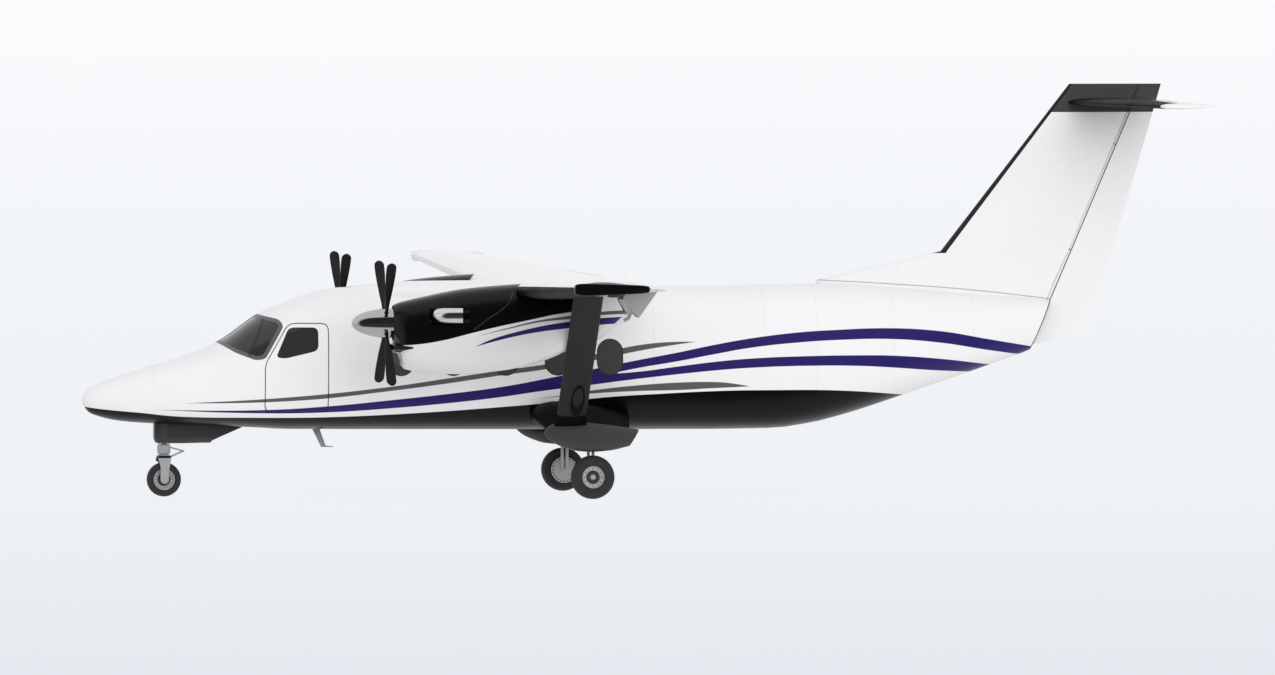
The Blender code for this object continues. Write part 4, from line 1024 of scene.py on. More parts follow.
@dataclass
class Fuselage:
    """The body shell with its hollow flight deck, doors, glazing, cabin windows and fairings."""

    tail: "Tail"
    # Station, top, bottom, half width, upper and lower roundness
    table: Table = (
        (0.0, 1.485, 1.445, 0.02, 2.0, 2.0), (0.03, 1.556, 1.372, 0.105, 2.0, 2.0),
        (0.12, 1.656, 1.272, 0.215, 2.0, 2.0), (0.26, 1.728, 1.218, 0.31, 2.1, 2.1),
        (0.56, 1.832, 1.152, 0.455, 2.2, 2.3), (0.93, 1.954, 1.119, 0.58, 2.3, 2.5),
        (1.49, 2.113, 1.094, 0.735, 2.4, 2.8), (1.95, 2.285, 1.076, 0.825, 2.4, 2.9),
        (2.21, 2.44, 1.066, 0.87, 2.4, 3.0), (2.64, 2.744, 1.046, 0.93, 2.4, 3.1),
        (3.1, 2.95, 1.022, 0.975, 2.5, 3.2), (3.63, 3.118, 1.018, 1.01, 2.6, 3.3),
        (3.95, 3.165, 1.016, 1.022, 2.7, 3.4), (4.6, 3.172, 1.014, 1.03, 2.8, 3.4),
        (9.45, 3.172, 1.0, 1.03, 2.8, 3.4), (10.5, 3.19, 1.012, 1.025, 2.8, 3.2),
        (11.1, 3.202, 1.092, 1.005, 2.7, 3.0), (11.62, 3.195, 1.219, 0.955, 2.6, 2.8),
        (12.5, 3.135, 1.499, 0.815, 2.5, 2.5), (13.38, 3.06, 1.794, 0.62, 2.4, 2.3),
        (14.1, 3.005, 2.045, 0.43, 2.3, 2.2), (14.57, 2.968, 2.211, 0.285, 2.2, 2.1),
        (14.9, 2.94, 2.33, 0.18, 2.1, 2.0),
    )
    points: int = 96
    deck: Point = (1.95, 3.95)
    door_thickness: float = 0.030
    wall: float = 0.055
    floor: float = 1.25
    windshield: Outline = (
        (1.985, 2.37), (2.265, 2.194), (2.56, 2.083), (2.7, 2.105), (2.99, 2.6), (2.93, 2.7),
        (2.7, 2.752), (2.6, 2.8), (2.2, 2.62), (1.95, 2.45),
    )
    door: Outline = (
        (2.69, 1.29), (3.66, 1.29), (3.66, 2.648), (3.057, 2.648), (2.69, 2.03),
    )
    door_window: Outline = (
        (2.86, 2.13), (3.0, 2.11), (3.5, 2.23), (3.5, 2.58), (3.06, 2.58),
    )
    seam: float = 0.010
    seal_width: float = 0.0045
    rim_width: float = 0.005
    lip: float = 0.030
    window_stations: tuple[float, ...] = (7.936, 7.141, 6.346, 5.551, 4.756)
    window_size: Point = (0.373, 0.530)
    window_height: float = 2.12
    side_post: Outline = ((2.408, 2.060), (2.442, 2.060), (2.757, 2.790), (2.723, 2.790))
    middle_post: Outline = ((1.90, 2.05), (3.0, 2.05), (3.0, 2.90), (1.90, 2.90))
    # Station, top, bottom, half width, upper and lower roundness
    roof: Table = (
        (4.05, 3.175, 2.75, 0.45, 3.5, 3.5), (4.5, 3.225, 2.75, 0.62, 3.5, 3.5),
        (5.2, 3.255, 2.75, 0.74, 3.5, 3.5), (6.3, 3.262, 2.75, 0.8, 3.5, 3.5),
    )

    def row(self, station: float) -> list[float]:
        """Top, bottom, half width and roundness of the body at a station."""
        return faired(self.table, station, True)

    def loft(
        self, name: str, start: float, end: float, shrink: float = 0.0, floor: float | None = None
    ) -> Piece:
        """The body between two stations.

        Args:
            name: Name of the new object.
            start: First station.
            end: Last station.
            shrink: Distance taken off all round.
            floor: Level of a flat floor, if there is one.

        Returns:
            The new object.
        """
        count = 24 + int((end - start) * 5)
        rings = []
        for root in spread(math.sqrt(start), math.sqrt(end), count):
            station = root ** 2
            top, bottom, half, upper, lower = self.row(station)
            shape = (top - shrink, bottom + shrink, half - shrink, upper, lower)
            ring = superellipse(station, 0.0, shape, self.points)
            if floor is not None:
                # The floor tilts by a hair so that no two points fall together
                ring = [Vector((p.x, p.y, max(p.z, floor + (p.y + 2) * 1e-5))) for p in ring]
            rings.append(ring)
        return skin(name, rings)

    def half_width(self, station: float, height: float) -> float:
        """Distance of the skin from the middle at a station and a height."""
        top, bottom, half, upper, lower = self.row(station)
        middle, reach = (top + bottom) / 2, (top - bottom) / 2
        share = min(1.0, abs(height - middle) / reach)
        power = upper if height > middle else lower
        return half * (1 - share ** power) ** (1 / power)

    def build(self) -> None:
        """Builds and dresses the whole fuselage."""
        self.build_shell()
        self.build_windshield()
        for side in Side:
            self.build_door(side)
            self.build_cabin_windows(side)
        self.build_roof_fairing()

    def build_shell(self) -> None:
        """The outer body with its hollow flight deck and its openings."""
        shell = self.loft("fuselage_shell", 0.0, self.table[-1][0])
        margin = 0.05
        near = (self.deck[0] - margin, self.deck[1] + margin)
        combine(shell, self.loft("deck_room", *self.deck, self.wall, self.floor), Join.CUT)
        for outline, corner, lip_corner in ((self.windshield, 0.05, 0.09), (self.door, 0.12, 0.09)):
            recess = slab("recess", rounded(outline, corner), *ACROSS)
            combine(recess, self.loft("lining", *near, self.door_thickness), Join.CUT)
            combine(shell, recess, Join.CUT)
            opening = slab("opening", rounded(inset(outline, self.lip), lip_corner), *ACROSS)
            combine(shell, opening, Join.CUT)
        combine(shell, self.tail.rudder_room(), Join.CUT)
        fixed(
            shell, 28.0, FUSELAGE_PAINT, "white_paint",
            "nose_section", "cockpit_section", "cabin_section", "tail_section",
        )

    def panel(
        self, name: str, outline: Sequence[Point], span: Sequence[float], out: float, depth: float
    ) -> Piece:
        """A curved panel of the skin within a side outline.

        Args:
            name: Name of the new object.
            outline: Side outline, station and height.
            span: Laterals at which the panel starts and ends.
            out: Distance by which its face stands out of the skin.
            depth: Thickness of the panel below the skin.

        Returns:
            The new object.
        """
        stations = [station for station, _ in outline]
        near = (min(stations) - 0.15, max(stations) + 0.15)
        made = slab(name, outline, *span)
        combine(made, self.loft("skin_form", *near, -out), Join.COMMON)
        return combine(made, self.loft("backing_form", *near, depth), Join.CUT)

    def border(
        self, name: str, outline: Sequence[Point], edges: tuple[Point, Point], span: Sequence[float],
        out: float, depth: float,
    ) -> Piece:
        """A curved frame along the inside of a side outline.

        Args:
            name: Name of the new object.
            outline: Side outline, station and height.
            edges: Inset and corner radius of its outer and of its inner edge.
            span: Laterals at which the frame starts and ends.
            out: Distance by which its face stands out of the skin.
            depth: Thickness of the frame below the skin.

        Returns:
            The new object.
        """
        outer, inner = (rounded(inset(outline, distance), corner) for distance, corner in edges)
        return combine(self.panel(name, outer, span, out, depth), slab("hole", inner, *span), Join.CUT)

    def build_windshield(self) -> None:
        """The wrap-round pane in its grey frame, with posts between its lights."""
        gap, frame_width = 0.0005, 0.060
        edge = rounded(inset(self.windshield, gap), 0.05)
        pane = self.panel("windshield_pane", edge, ACROSS, -0.003, 0.028)
        fixed(pane, 28.0, SMOKED_ACRYLIC, "tinted_glass", "windshield")
        edges = ((gap, 0.05), (frame_width, 0.06))
        frame = self.border("windshield_frame", self.windshield, edges, ACROSS, 0.001, 0.004)
        fixed(frame, 28.0, FRAME_GREY, "stripe_grey_paint")
        spans = [(self.side_post, side.span(0.0, ACROSS[1])) for side in Side]
        posts = []
        for outline, span in (*spans, (self.middle_post, (-0.025, 0.025))):
            trim = slab("post_trim", rounded(inset(self.windshield, frame_width / 2), 0.06), *ACROSS)
            posts.append(combine(self.panel("post", outline, span, 0.001, 0.004), trim, Join.COMMON))
        fixed(merge("windshield_posts", *posts), 28.0, POST_GREY, "dark_grey_paint")

    def build_door(self, side: Side) -> None:
        """A crew door with its window and its grey rim, and the black seal round its opening; rim and seal
        widen the seam's dark line as painted shade.

        Args:
            side: Side of the door.
        """
        word, body = side.word, f"door_{side.word}"
        span = side.span(0.3, 1.5)
        edge = rounded(inset(self.door, self.seam), 0.11)
        door = self.panel(f"crew_door_skin_{word}", edge, span, 0.0, self.door_thickness - 0.0005)
        combine(door, slab("window_cut", rounded(self.door_window, 0.09), *span), Join.CUT)
        dress(shaded(door, 28.0), FUSELAGE_PAINT, body, "white_paint", f"crew_door_{word}")
        edge = rounded(inset(self.door_window, 0.0005), 0.09)
        glass = self.panel(f"door_pane_{word}", edge, span, -0.002, 0.028)
        dress(shaded(glass, 28.0), SMOKED_ACRYLIC, body, "tinted_glass", f"door_glass_{word}")
        # The seal's black and the rim's grey widen the dark seam as painted shade
        edges = ((0.0002, 0.12), (self.seal_width, 0.116))
        seal = self.border(f"door_seal_{word}", self.door, edges, span, -0.002, 0.006)
        fixed(seal, 28.0, MATT_BLACK, "boot_rubber")
        edges = ((self.seam, 0.11), (self.seam + self.rim_width, 0.104))
        rim = self.border(f"door_rim_{word}", self.door, edges, span, 0.0006, 0.001)
        dress(shaded(rim, 28.0), SEAM_SHADE_GREY, body, "boot_rubber")

    def build_cabin_windows(self, side: Side) -> None:
        """Five stadium-shaped cabin windows, each in its thin seal.

        Args:
            side: Side of the windows.
        """
        width, height = self.window_size
        straight = (height - width) / 2
        span = side.span(0.7, 1.2)
        for name, grow, proud, finish, slot in (
            ("windows", 0.0, 0.0030, WINDOW_ACRYLIC, "tinted_glass"),
            ("window_seals", 0.014, 0.0015, SEAL_RUBBER, "boot_rubber"),
        ):
            made = []
            for station in self.window_stations:
                outline = arc((station, self.window_height + straight), width / 2 + grow, 0, 180, 20)
                outline += arc((station, self.window_height - straight), width / 2 + grow, 180, 360, 20)
                made.append(self.panel("window", outline, span, proud, 0.004))
            fixed(merge(f"cabin_{name}_{side.word}", *made), 28.0, finish, slot)

    def build_roof_fairing(self) -> None:
        """The raised fairing on the roof before the wing."""
        ends = (self.roof[0][0], self.roof[-1][0])
        rings = [superellipse(s, 0.0, faired(self.roof, s), 64) for s in spread(*ends, 24)]
        fixed(skin("roof_fairing", rings), 35.0, GLOSS_WHITE, "white_paint", "wing_fairing")


AIRFOIL_POINTS = 26


def half_thickness(x: float, thickness: float) -> float:
    """Half thickness of a four-digit airfoil at a fraction of its chord."""
    return 5 * thickness * (
        0.2969 * math.sqrt(x) - 0.1260 * x - 0.3516 * x * x + 0.2843 * x ** 3 - 0.0960 * x ** 4
    )


def airfoil(chord: float, thickness: float, camber: float, edge_half: float = 0.004) -> list[Point]:
    """Airfoil points (distance aft, height) from the upper trailing edge round the nose.

    Args:
        chord: Length of the section.
        thickness: Greatest thickness.
        camber: Bow of its middle line as a share of the chord.
        edge_half: Half thickness that is kept at least.

    Returns:
        The points.
    """
    fractions = [(1 - math.cos(math.pi * i / AIRFOIL_POINTS)) / 2 for i in range(AIRFOIL_POINTS + 1)]
    bow = [4 * camber * chord * x * (1 - x) for x in fractions]
    least = [min(edge_half, 0.6 * thickness * math.sqrt(x)) for x in fractions]
    half = [max(half_thickness(x, thickness), edge) for x, edge in zip(fractions, least)]
    upper = [(x * chord, b + h) for x, b, h in zip(fractions, bow, half)]
    lower = [(x * chord, b - h) for x, b, h in zip(fractions, bow, half)]
    return upper[:0:-1] + [(0.0, 0.0)] + lower[1:]


def cove_ring(hinge: Point, tail: float, radius: float, height: float) -> list[Point]:
    """The section of the space that a control surface needs."""
    ring = [(tail, hinge[1] + height), (hinge[0], hinge[1] + height)]
    ring += arc(hinge, radius, 90, 270, 12)
    return ring + [(hinge[0], hinge[1] - height), (tail, hinge[1] - height)]


def on_line(foot: Point, head: Point, height: float) -> float:
    """Station at a height of the line through two (station, height) points."""
    return foot[0] + (head[0] - foot[0]) * (height - foot[1]) / (head[1] - foot[1])


def bell(value: float, middle: float, width: float) -> float:
    """A smooth bump that is one at its middle and fades over a width."""
    return math.exp(-((value - middle) / width) ** 2)


def turned(name: str, centre: Vector, axis: Vector, profile: Sequence[Point], steps: int = 64) -> Piece:
    """A piece turned round an axis from a closed outline.

    Args:
        name: Name of the new object.
        centre: Point on the axis that distances along it start from.
        axis: Direction of the axis.
        profile: Closed outline, radius and distance along the axis.
        steps: Steps in a full turn.

    Returns:
        The new object.
    """
    obj = primitive(name, bpy.ops.mesh.primitive_circle_add, vertices=len(profile))
    aim = axis.normalized()
    across = aim.orthogonal().normalized()
    for vertex, (radius, along) in zip(obj.data.vertices, profile):
        vertex.co = centre + across * radius + aim * along
    edit(
        obj,
        lambda: bpy.ops.mesh.spin(steps=steps, angle=2 * math.pi, center=centre, axis=aim),
        lambda: bpy.ops.mesh.remove_doubles(threshold=WELD),
        lambda: bpy.ops.mesh.dissolve_degenerate(threshold=WELD / 2),
        lambda: bpy.ops.mesh.delete_loose(use_faces=False),
        lambda: bpy.ops.mesh.normals_make_consistent(inside=False),
    )
    return obj


def round_the_axis(obj: Piece, count: int, centre: Vector, axis: Vector) -> Piece:
    """Repeats a piece evenly round an axis as one object."""
    others = []
    for k in range(1, count):
        turn = Matrix.Rotation(2 * math.pi * k / count, 4, axis.normalized())
        change = Matrix.Translation(centre) @ turn @ Matrix.Translation(-centre)
        others.append(twin(obj, f"{obj.name}_{k}", change))
    return merge(obj.name, obj, *others)


def mirrored(obj: Piece, name: str) -> Piece:
    """The same piece on the other side of the aircraft."""
    return twin(obj, name, Matrix.Scale(-1.0, 4, ALONG_Y))


def link_plate(start: Point, end: Point, radius: float, left: float, right: float, name: str) -> Piece:
    """A stadium-shaped plate between two (station, height) points."""
    a, b = Vector(start), Vector(end)
    heading = math.degrees(math.atan2((b - a).y, (b - a).x))
    outline = arc(tuple(b), radius, heading - 90, heading + 90, 14)
    outline += arc(tuple(a), radius, heading + 90, heading + 270, 14)
    return slab(name, outline, left, right)


@dataclass
class Wing:
    """The wing from tip to tip with its flaps, ailerons, tip lights and wicks."""

    leading_root: float = 6.22
    leading_tip: float = 6.25
    root_chord: float = 2.20
    tip_chord: float = 1.12
    kink: float = 4.20
    height: float = 3.10
    root_thickness: float = 0.33
    tip_thickness: float = 0.175
    camber: float = 0.02
    hinge_fraction: float = 0.72
    control_gap: float = 0.012
    skin_step: float = 0.003
    inner_flap: Point = (1.10, 4.12)
    outer_flap: Point = (4.28, 6.70)
    aileron: Point = (6.80, 10.35)
    # Squared tip cap: distance out at which it starts, front and back station, half height
    cap_start: float = 10.93
    cap_front: float = 6.235
    cap_back: float = 7.350
    cap_half: float = 0.096
    cap_taper: float = 0.38
    cap_squareness: float = 6.0
    # Boot: share of the chord that it covers above and below, lift and distances from the middle
    boot_top: float = 0.022
    boot_under: float = 0.42
    boot_lift: float = 0.003
    boot_stops: tuple[float, ...] = (3.45, 4.20, 5.4, 6.75, 7.6, 9.0, 10.4, 10.86)
    # Distance out of the tip lights' middle, and how far aft of their points they reach
    light_lateral: float = 10.966
    light_length: float = 0.05
    # Distances out of the static wicks
    wicks: tuple[float, ...] = (7.4, 8.2, 9.0, 9.8)
    # Distance out and share of the size that the cap keeps there
    cap_rounding: Outline = (
        (10.93, 1.0), (10.992, 1.0), (11.002, 0.993), (11.008, 0.978), (11.01, 0.96),
    )

    def row(self, y: float) -> tuple[float, float, float, float]:
        """Leading edge, height, chord and thickness at a distance from the middle."""
        reach = abs(y)
        outboard = max(0.0, (reach - self.kink) / (HALF_SPAN - self.kink))
        leading = self.leading_root + (self.leading_tip - self.leading_root) * reach / HALF_SPAN
        chord = self.root_chord + (self.tip_chord - self.root_chord) * outboard
        thickness = self.root_thickness + (self.tip_thickness - self.root_thickness) * outboard
        return leading, self.height + DIHEDRAL * reach, chord, thickness

    def ring(self, y: float, grow: float = 0.0) -> Ring:
        """The wing's section at a signed distance from the middle, grown all round."""
        leading, height, chord, thickness = self.row(y)
        stretch, swell = 1 + 2 * grow / chord, 1 + 2 * grow / thickness
        return [
            at(leading + chord / 2 + (x - chord / 2) * stretch, y, height + z * swell)
            for x, z in airfoil(chord, thickness, self.camber)
        ]

    def cap_ring(self, y: float, share: float) -> Ring:
        """The tip cap's section, squarer than the airfoil's and with as many points."""
        height = self.row(self.cap_start)[1]
        middle, reach = (self.cap_front + self.cap_back) / 2, (self.cap_back - self.cap_front) / 2
        ring = []
        for x, z in airfoil(1.0, 1.0, 0.0):
            bulge = max(0.5, (1 - abs(2 * x - 1) ** self.cap_squareness) ** (1 / self.cap_squareness))
            bulge *= 1 - self.cap_taper * x
            lift = math.copysign(self.cap_half * bulge, z) if x > 0 else 0.0
            ring.append(at(middle + (2 * x - 1) * reach * share, y, height + lift * share))
        return ring

    def form(self, name: str, start: float, end: float, grow: float = 0.0) -> Piece:
        """The wing's body between two signed distances."""
        stops = [start] + [k for k in (-self.kink, 0.0, self.kink) if start < k < end] + [end]
        return skin(name, [self.ring(y, grow) for y in stops])

    def hinge(self, y: float) -> tuple[Point, float, Point]:
        """Hinge point, nose radius and trailing edge of a surface at a distance."""
        leading, height, chord, thickness = self.row(y)
        x = self.hinge_fraction
        bow = 4 * self.camber * chord * x * (1 - x)
        radius = half_thickness(x, thickness) - self.control_gap - self.skin_step
        return (leading + x * chord, height + bow), radius, (leading + chord, height)

    def build(self) -> None:
        """Builds and dresses the wing."""
        tips = [self.cap_ring(y, share) for y, share in self.cap_rounding]
        left = [[Vector((p.x, -p.y, p.z)) for p in ring] for ring in reversed(tips)]
        stops = (10.86, 10.4, 9.0, 7.6, 6.75, 5.4, self.kink, 2.8, 1.06)
        inner = [self.ring(-y) for y in stops] + [self.ring(0.0)] + [self.ring(y) for y in reversed(stops)]
        panel = skin("wing_skin", left + inner + tips)
        for side in Side:
            for name, span in (
                ("flap_inner", self.inner_flap), ("flap_outer", self.outer_flap), ("aileron", self.aileron)
            ):
                rings = []
                for y in span:
                    hinge, radius, tail = self.hinge(y)
                    cove = cove_ring(hinge, tail[0] + 0.3, radius + self.control_gap, 0.30)
                    rings.append([at(s, side.value * y, z) for s, z in cove])
                combine(panel, skin("cove", rings), Join.CUT)
        dress(
            shaded(panel, 30.0), WING_PAINT, "airframe", "white_paint",
            "wing_center", "wing_panel_left", "wing_panel_right",
        )
        for side in Side:
            self.build_boot(side)
            self.build_surfaces(side)
            self.build_tip_light(side)
            self.build_wicks(side)

    def build_boot(self, side: Side) -> None:
        """The thin boot round the wing's nose and on its underside, black on the left side as painted shade.
        """
        order = [
            i for i, (x, z) in enumerate(airfoil(1.0, 1.0, 0.0))
            if x <= (self.boot_top if z > 0 else self.boot_under)
        ]
        rings = []
        for y in self.boot_stops:
            outer, inner = self.ring(side.value * y, self.boot_lift), self.ring(side.value * y, 0.0005)
            rings.append([outer[i] for i in order] + [inner[i] for i in reversed(order)])
        # The left boot's black is painted shade; the right boot stays pale
        finish, slot = (LEFT_BOOT_SHADE_BLACK, "black_paint") if side is Side.LEFT else (PALE_BOOT, "white_paint")
        fixed(skin(f"wing_boot_{side.word}", rings), 50.0, finish, slot)

    def build_surfaces(self, side: Side) -> None:
        """Flaps and aileron of one side, and the fairings of their hinges."""
        for node, body, span in (
            (f"flap_inner_{side.word}", f"inner_flap_{side.word}", None),
            (f"flap_outer_{side.word}", f"outer_flap_{side.word}", (4.9, 6.1)),
            (f"aileron_{side.word}", f"{side.word}_aileron", (7.6, 9.6)),
        ):
            surface = weighted(smooth_copy(node, f"{node}_skin", 40.0))
            dress(surface, WING_PAINT, body, "white_paint", node)
            for index, y in enumerate(span or ()):
                self.build_hinge_fairing(side, y, f"{node}_bracket_{index}")
        # The nacelle's tail is dressed grey as painted shade
        tail = smooth_copy(f"nacelle_tail_{side.word}", f"nacelle_tail_skin_{side.word}", 35.0)
        dress(tail, NACELLE_TAIL_SHADE_GREY, f"inner_flap_{side.word}", "white_paint", f"nacelle_tail_{side.word}")

    def build_hinge_fairing(self, side: Side, y: float, name: str) -> None:
        """A slim pod under the wing that covers a hinge bracket ahead of the hinge line."""
        hinge, _, _ = self.hinge(y)
        leading, height, chord, thickness = self.row(y)
        rings = []
        for share in spread(0.0, 1.0, 12):
            reach = math.sin(math.pi * min(1.0, 0.05 + 0.95 * share)) ** 0.6 if share < 1 else 0.02
            station = hinge[0] - 0.30 + 0.285 * share
            x = (station - leading) / chord
            under = height + 4 * self.camber * chord * x * (1 - x) - half_thickness(x, thickness)
            row = (under + 0.012, under - 0.036 * reach - 0.001, max(0.003, 0.022 * reach), 2.0, 2.2)
            rings.append(superellipse(station, side.value * y, row, 20))
        fixed(skin(name, rings), 50.0, GLOSS_BLACK, "black_paint")

    def build_tip_light(self, side: Side) -> None:
        """The coloured position light in the front of a tip and the clear one behind it."""
        height = self.row(self.cap_start)[1]
        colour = RED_LENS if side is Side.LEFT else GREEN_LENS
        for name, tip, way, finish in (
            ("tip_light", self.cap_front - 0.007, 1, colour),
            ("tail_light", self.cap_back + 0.030, -1, CLEAR_LENS),
        ):
            rings = []
            for share in (0.0, 0.1, 0.3, 0.6, 1.0):
                size = math.sqrt(max(0.02, 1 - (1 - share) ** 2))
                row = (height + 0.024 * size, height - 0.024 * size, 0.030 * size, 2.2, 2.2)
                station = tip + way * self.light_length * share
                rings.append(superellipse(station, side.value * self.light_lateral, row, 24))
            fixed(skin(f"{name}_{side.word}", rings), 50.0, finish, "tinted_glass")

    def build_wicks(self, side: Side) -> None:
        """Static wicks on the aileron's trailing edge."""
        wicks = []
        for y in self.wicks:
            _, _, tail = self.hinge(y)
            start = at(tail[0] - 0.02, side.value * y, tail[1])
            wicks.append(rod("wick", start, start + Vector((0.09, 0.0, -0.006)), 0.0028, 8, 0.0015))
        wick = merge(f"static_wicks_{side.word}", *wicks)
        dress(shaded(wick, 40.0), SEAL_RUBBER, f"{side.word}_aileron", "boot_rubber")


@dataclass
class Powerplant:
    """One nacelle with its engine, exhausts and propeller."""

    side: Side
    wing: Wing
    lateral: float = 3.16
    hub_height: float = 2.70
    hub_station: float = 4.28
    # Station, top, bottom, half width, upper and lower roundness
    table: Table = (
        (4.4, 2.97, 2.41, 0.29, 2.1, 2.1), (4.47, 3.005, 2.255, 0.35, 2.3, 2.3),
        (4.5, 3.014, 2.12, 0.37, 2.4, 2.4), (4.56, 3.03, 2.01, 0.41, 2.4, 2.4),
        (4.87, 3.1, 1.955, 0.46, 2.5, 2.5), (5.4, 3.204, 1.927, 0.5, 2.6, 2.6),
        (5.98, 3.262, 1.972, 0.5, 2.6, 2.6), (6.37, 3.285, 2.04, 0.49, 2.6, 2.6),
        (6.73, 3.29, 2.145, 0.45, 2.4, 2.4), (7.02, 3.29, 2.27, 0.42, 2.3, 2.3),
        (7.53, 3.29, 2.462, 0.38, 2.3, 2.3), (7.98, 3.29, 2.84, 0.35, 2.2, 2.2),
    )
    tail_cut: Outline = (
        (7.53, 2.462), (7.2, 2.165), (7.6, 2.0), (8.3, 2.3), (8.3, 3.6), (7.6, 3.6), (7.735, 3.09),
        (7.897, 2.784),
    )
    bore: float = 0.25
    intake: Outline = ((-0.17, 2.085), (0.17, 2.085), (0.20, 2.260), (-0.20, 2.260))
    # Scoop under the cowl's nose: station, top, bottom, half width
    scoop: Table = (
        (4.366, 2.372, 2.29, 0.3), (4.372, 2.386, 2.276, 0.315), (4.4, 2.4, 2.264, 0.345),
        (4.47, 2.408, 2.258, 0.39), (4.56, 2.4, 2.268, 0.43), (4.655, 2.37, 2.305, 0.44),
    )
    exhaust_height: float = 2.816
    exhaust_offset: float = 0.47
    exhaust_radius: float = 0.123
    # Flap pivot, the point that its lugs start from, and how far each lug is from the middle
    pivot: Point = (7.870, 2.710)
    lug_root: Point = (7.78, 2.80)
    lug_offset: float = 0.0203
    # Seat of the wing in the cowl: distances out, and play round the wing
    seat_span: Point = (2.4, 3.9)
    seat_play: float = 0.0003
    # Engine bay and engine core, from front to back
    bay_ends: Point = (4.2, 6.1003)
    core_ends: Point = (4.62, 6.10)
    shaft_front: float = 4.4253
    # Recess of an exhaust: its ends, how far it leans outwards, play round the stub
    recess_ends: Point = (4.90, 5.50)
    recess_lean: float = 0.085
    recess_play: float = 0.020
    # Passage from the engine to the recess, station and height on the shaft's side
    passage: Point = (5.09, 2.76)
    passage_radius: float = 0.115
    spinner_tip: float = 0.51
    spinner_shoulder: float = -0.05
    spinner_back: float = -0.145
    spinner_radius: float = 0.222
    blade_turn: float = 45.0
    # Middle of a bent exhaust stub, station and distance from the shaft
    stub_path: Outline = (
        (5.03, 0.28), (5.065, 0.385), (5.125, 0.45), (5.21, 0.485), (5.3, 0.497), (5.395, 0.505),
    )
    stub_wall: float = 0.010
    # Place along the path from which the stub is hollow
    stub_hollow_from: int = 2
    # Radius, chord, thickness, twist in degrees
    blade: Table = (
        (0.1, 0.05, 0.05, 0.0), (0.23, 0.05, 0.05, 0.0), (0.35, 0.06, 0.044, 22.0),
        (0.6, 0.101, 0.034, 13.0), (0.87, 0.134, 0.026, 6.0), (1.1, 0.15, 0.02, 1.0),
        (1.2, 0.15, 0.014, -3.0), (1.3, 0.148, 0.008, -4.0),
    )

    @property
    def y(self) -> float:
        """Signed distance of the shaft from the middle."""
        return self.side.value * self.lateral

    @property
    def hub(self) -> Vector:
        """Centre of the propeller."""
        return self.on_shaft(self.hub_station)

    @property
    def tilt(self) -> Matrix:
        """Turn of the blades about the shaft, away from straight up."""
        turn = Matrix.Rotation(math.radians(-self.blade_turn), 4, "X")
        return Matrix.Translation(self.hub) @ turn @ Matrix.Translation(-self.hub)

    def on_shaft(self, station: float) -> Vector:
        """World point of the shaft at a station."""
        return at(station, self.y, self.hub_height)

    def build(self) -> None:
        """Builds and dresses the nacelle, engine and propeller."""
        self.build_cowl()
        self.build_engine()
        self.build_spinner()
        self.build_blades()

    def cowl_form(self, name: str, grow: float = 0.0) -> Piece:
        """The cowl's plain body, grown all round."""
        rings = []
        for station in spread(self.table[0][0], self.table[-1][0], 60, 1.25):
            top, bottom, half, upper, lower = faired(self.table, station)
            row = (top + grow, bottom - grow, half + grow, upper, lower)
            rings.append(superellipse(station - grow, self.y, row, 72))
        return skin(name, rings)

    def build_cowl(self) -> None:
        """The cowl with its engine bay, chin intake and exhaust recesses."""
        word = self.side.word
        cowl = self.cowl_form(f"cowl_{word}")
        seat = self.side.span(*self.seat_span)
        bay = (self.on_shaft(station) for station in self.bay_ends)
        for cutter in (
            self.wing.form("wing_seat", *seat, self.seat_play),
            slab("tail_end", self.tail_cut, self.y - 0.7, self.y + 0.7),
            rod("engine_bay", *bay, self.bore, 64),
            self.throat(0.0),
        ):
            combine(cowl, cutter, Join.CUT)
        height, (front, rear), (inlet, inner) = self.exhaust_height, self.recess_ends, self.passage
        for flank in (-1, 1):
            duct = self.y + flank * self.exhaust_offset
            start, end = at(front, duct, height), at(rear, duct + flank * self.recess_lean, height)
            combine(cowl, rod("recess", start, end, self.exhaust_radius + self.recess_play, 56), Join.CUT)
            start, end = at(inlet, self.y, inner), at(inlet, duct, height)
            combine(cowl, rod("passage", start, end, self.passage_radius, 32), Join.CUT)
        fixed(cowl, 32.0, NACELLE_PAINT, "white_paint", f"nacelle_{word}")
        lugs = []
        for offset in (-self.lug_offset, self.lug_offset):
            span = (self.y + offset - 0.01, self.y + offset + 0.01)
            lugs.append(link_plate(self.pivot, self.lug_root, 0.030, *span, "hinge_lug"))
        fixed(merge(f"flap_hinge_lugs_{word}", *lugs), 40.0, GLOSS_WHITE, "light_grey_enamel")
        self.build_lips()
        self.build_scoop()

    def throat(self, grow: float) -> Piece:
        """The body of air in the chin intake, grown all round."""
        mouth = rounded(inset(self.intake, -grow), 0.07 + grow, 8)
        return skin("throat", [[at(s, self.y + w, z) for w, z in mouth] for s in (4.30, 4.72)])

    def build_lips(self) -> None:
        """A rubber ring in the cowl's nose and a polished lip round the chin intake."""
        profile = [
            (self.bore + out, along)
            for out, along in ((-0.001, 0.0), (0.012, -0.010), (0.020, 0.0), (0.012, 0.012))
        ]
        ring = turned(f"cowl_nose_ring_{self.side.word}", self.on_shaft(4.402), -ALONG_X, profile)
        fixed(ring, 50.0, SEAL_RUBBER, "boot_rubber")
        lip = self.throat(0.022)
        lip.name = f"chin_intake_lip_{self.side.word}"
        combine(lip, self.cowl_form("lip_form", 0.007), Join.COMMON)
        combine(lip, self.cowl_form("lip_back", -0.003), Join.CUT)
        combine(lip, self.throat(-0.001), Join.CUT)
        fixed(lip, 40.0, MIRROR_ALLOY, "polished_metal")

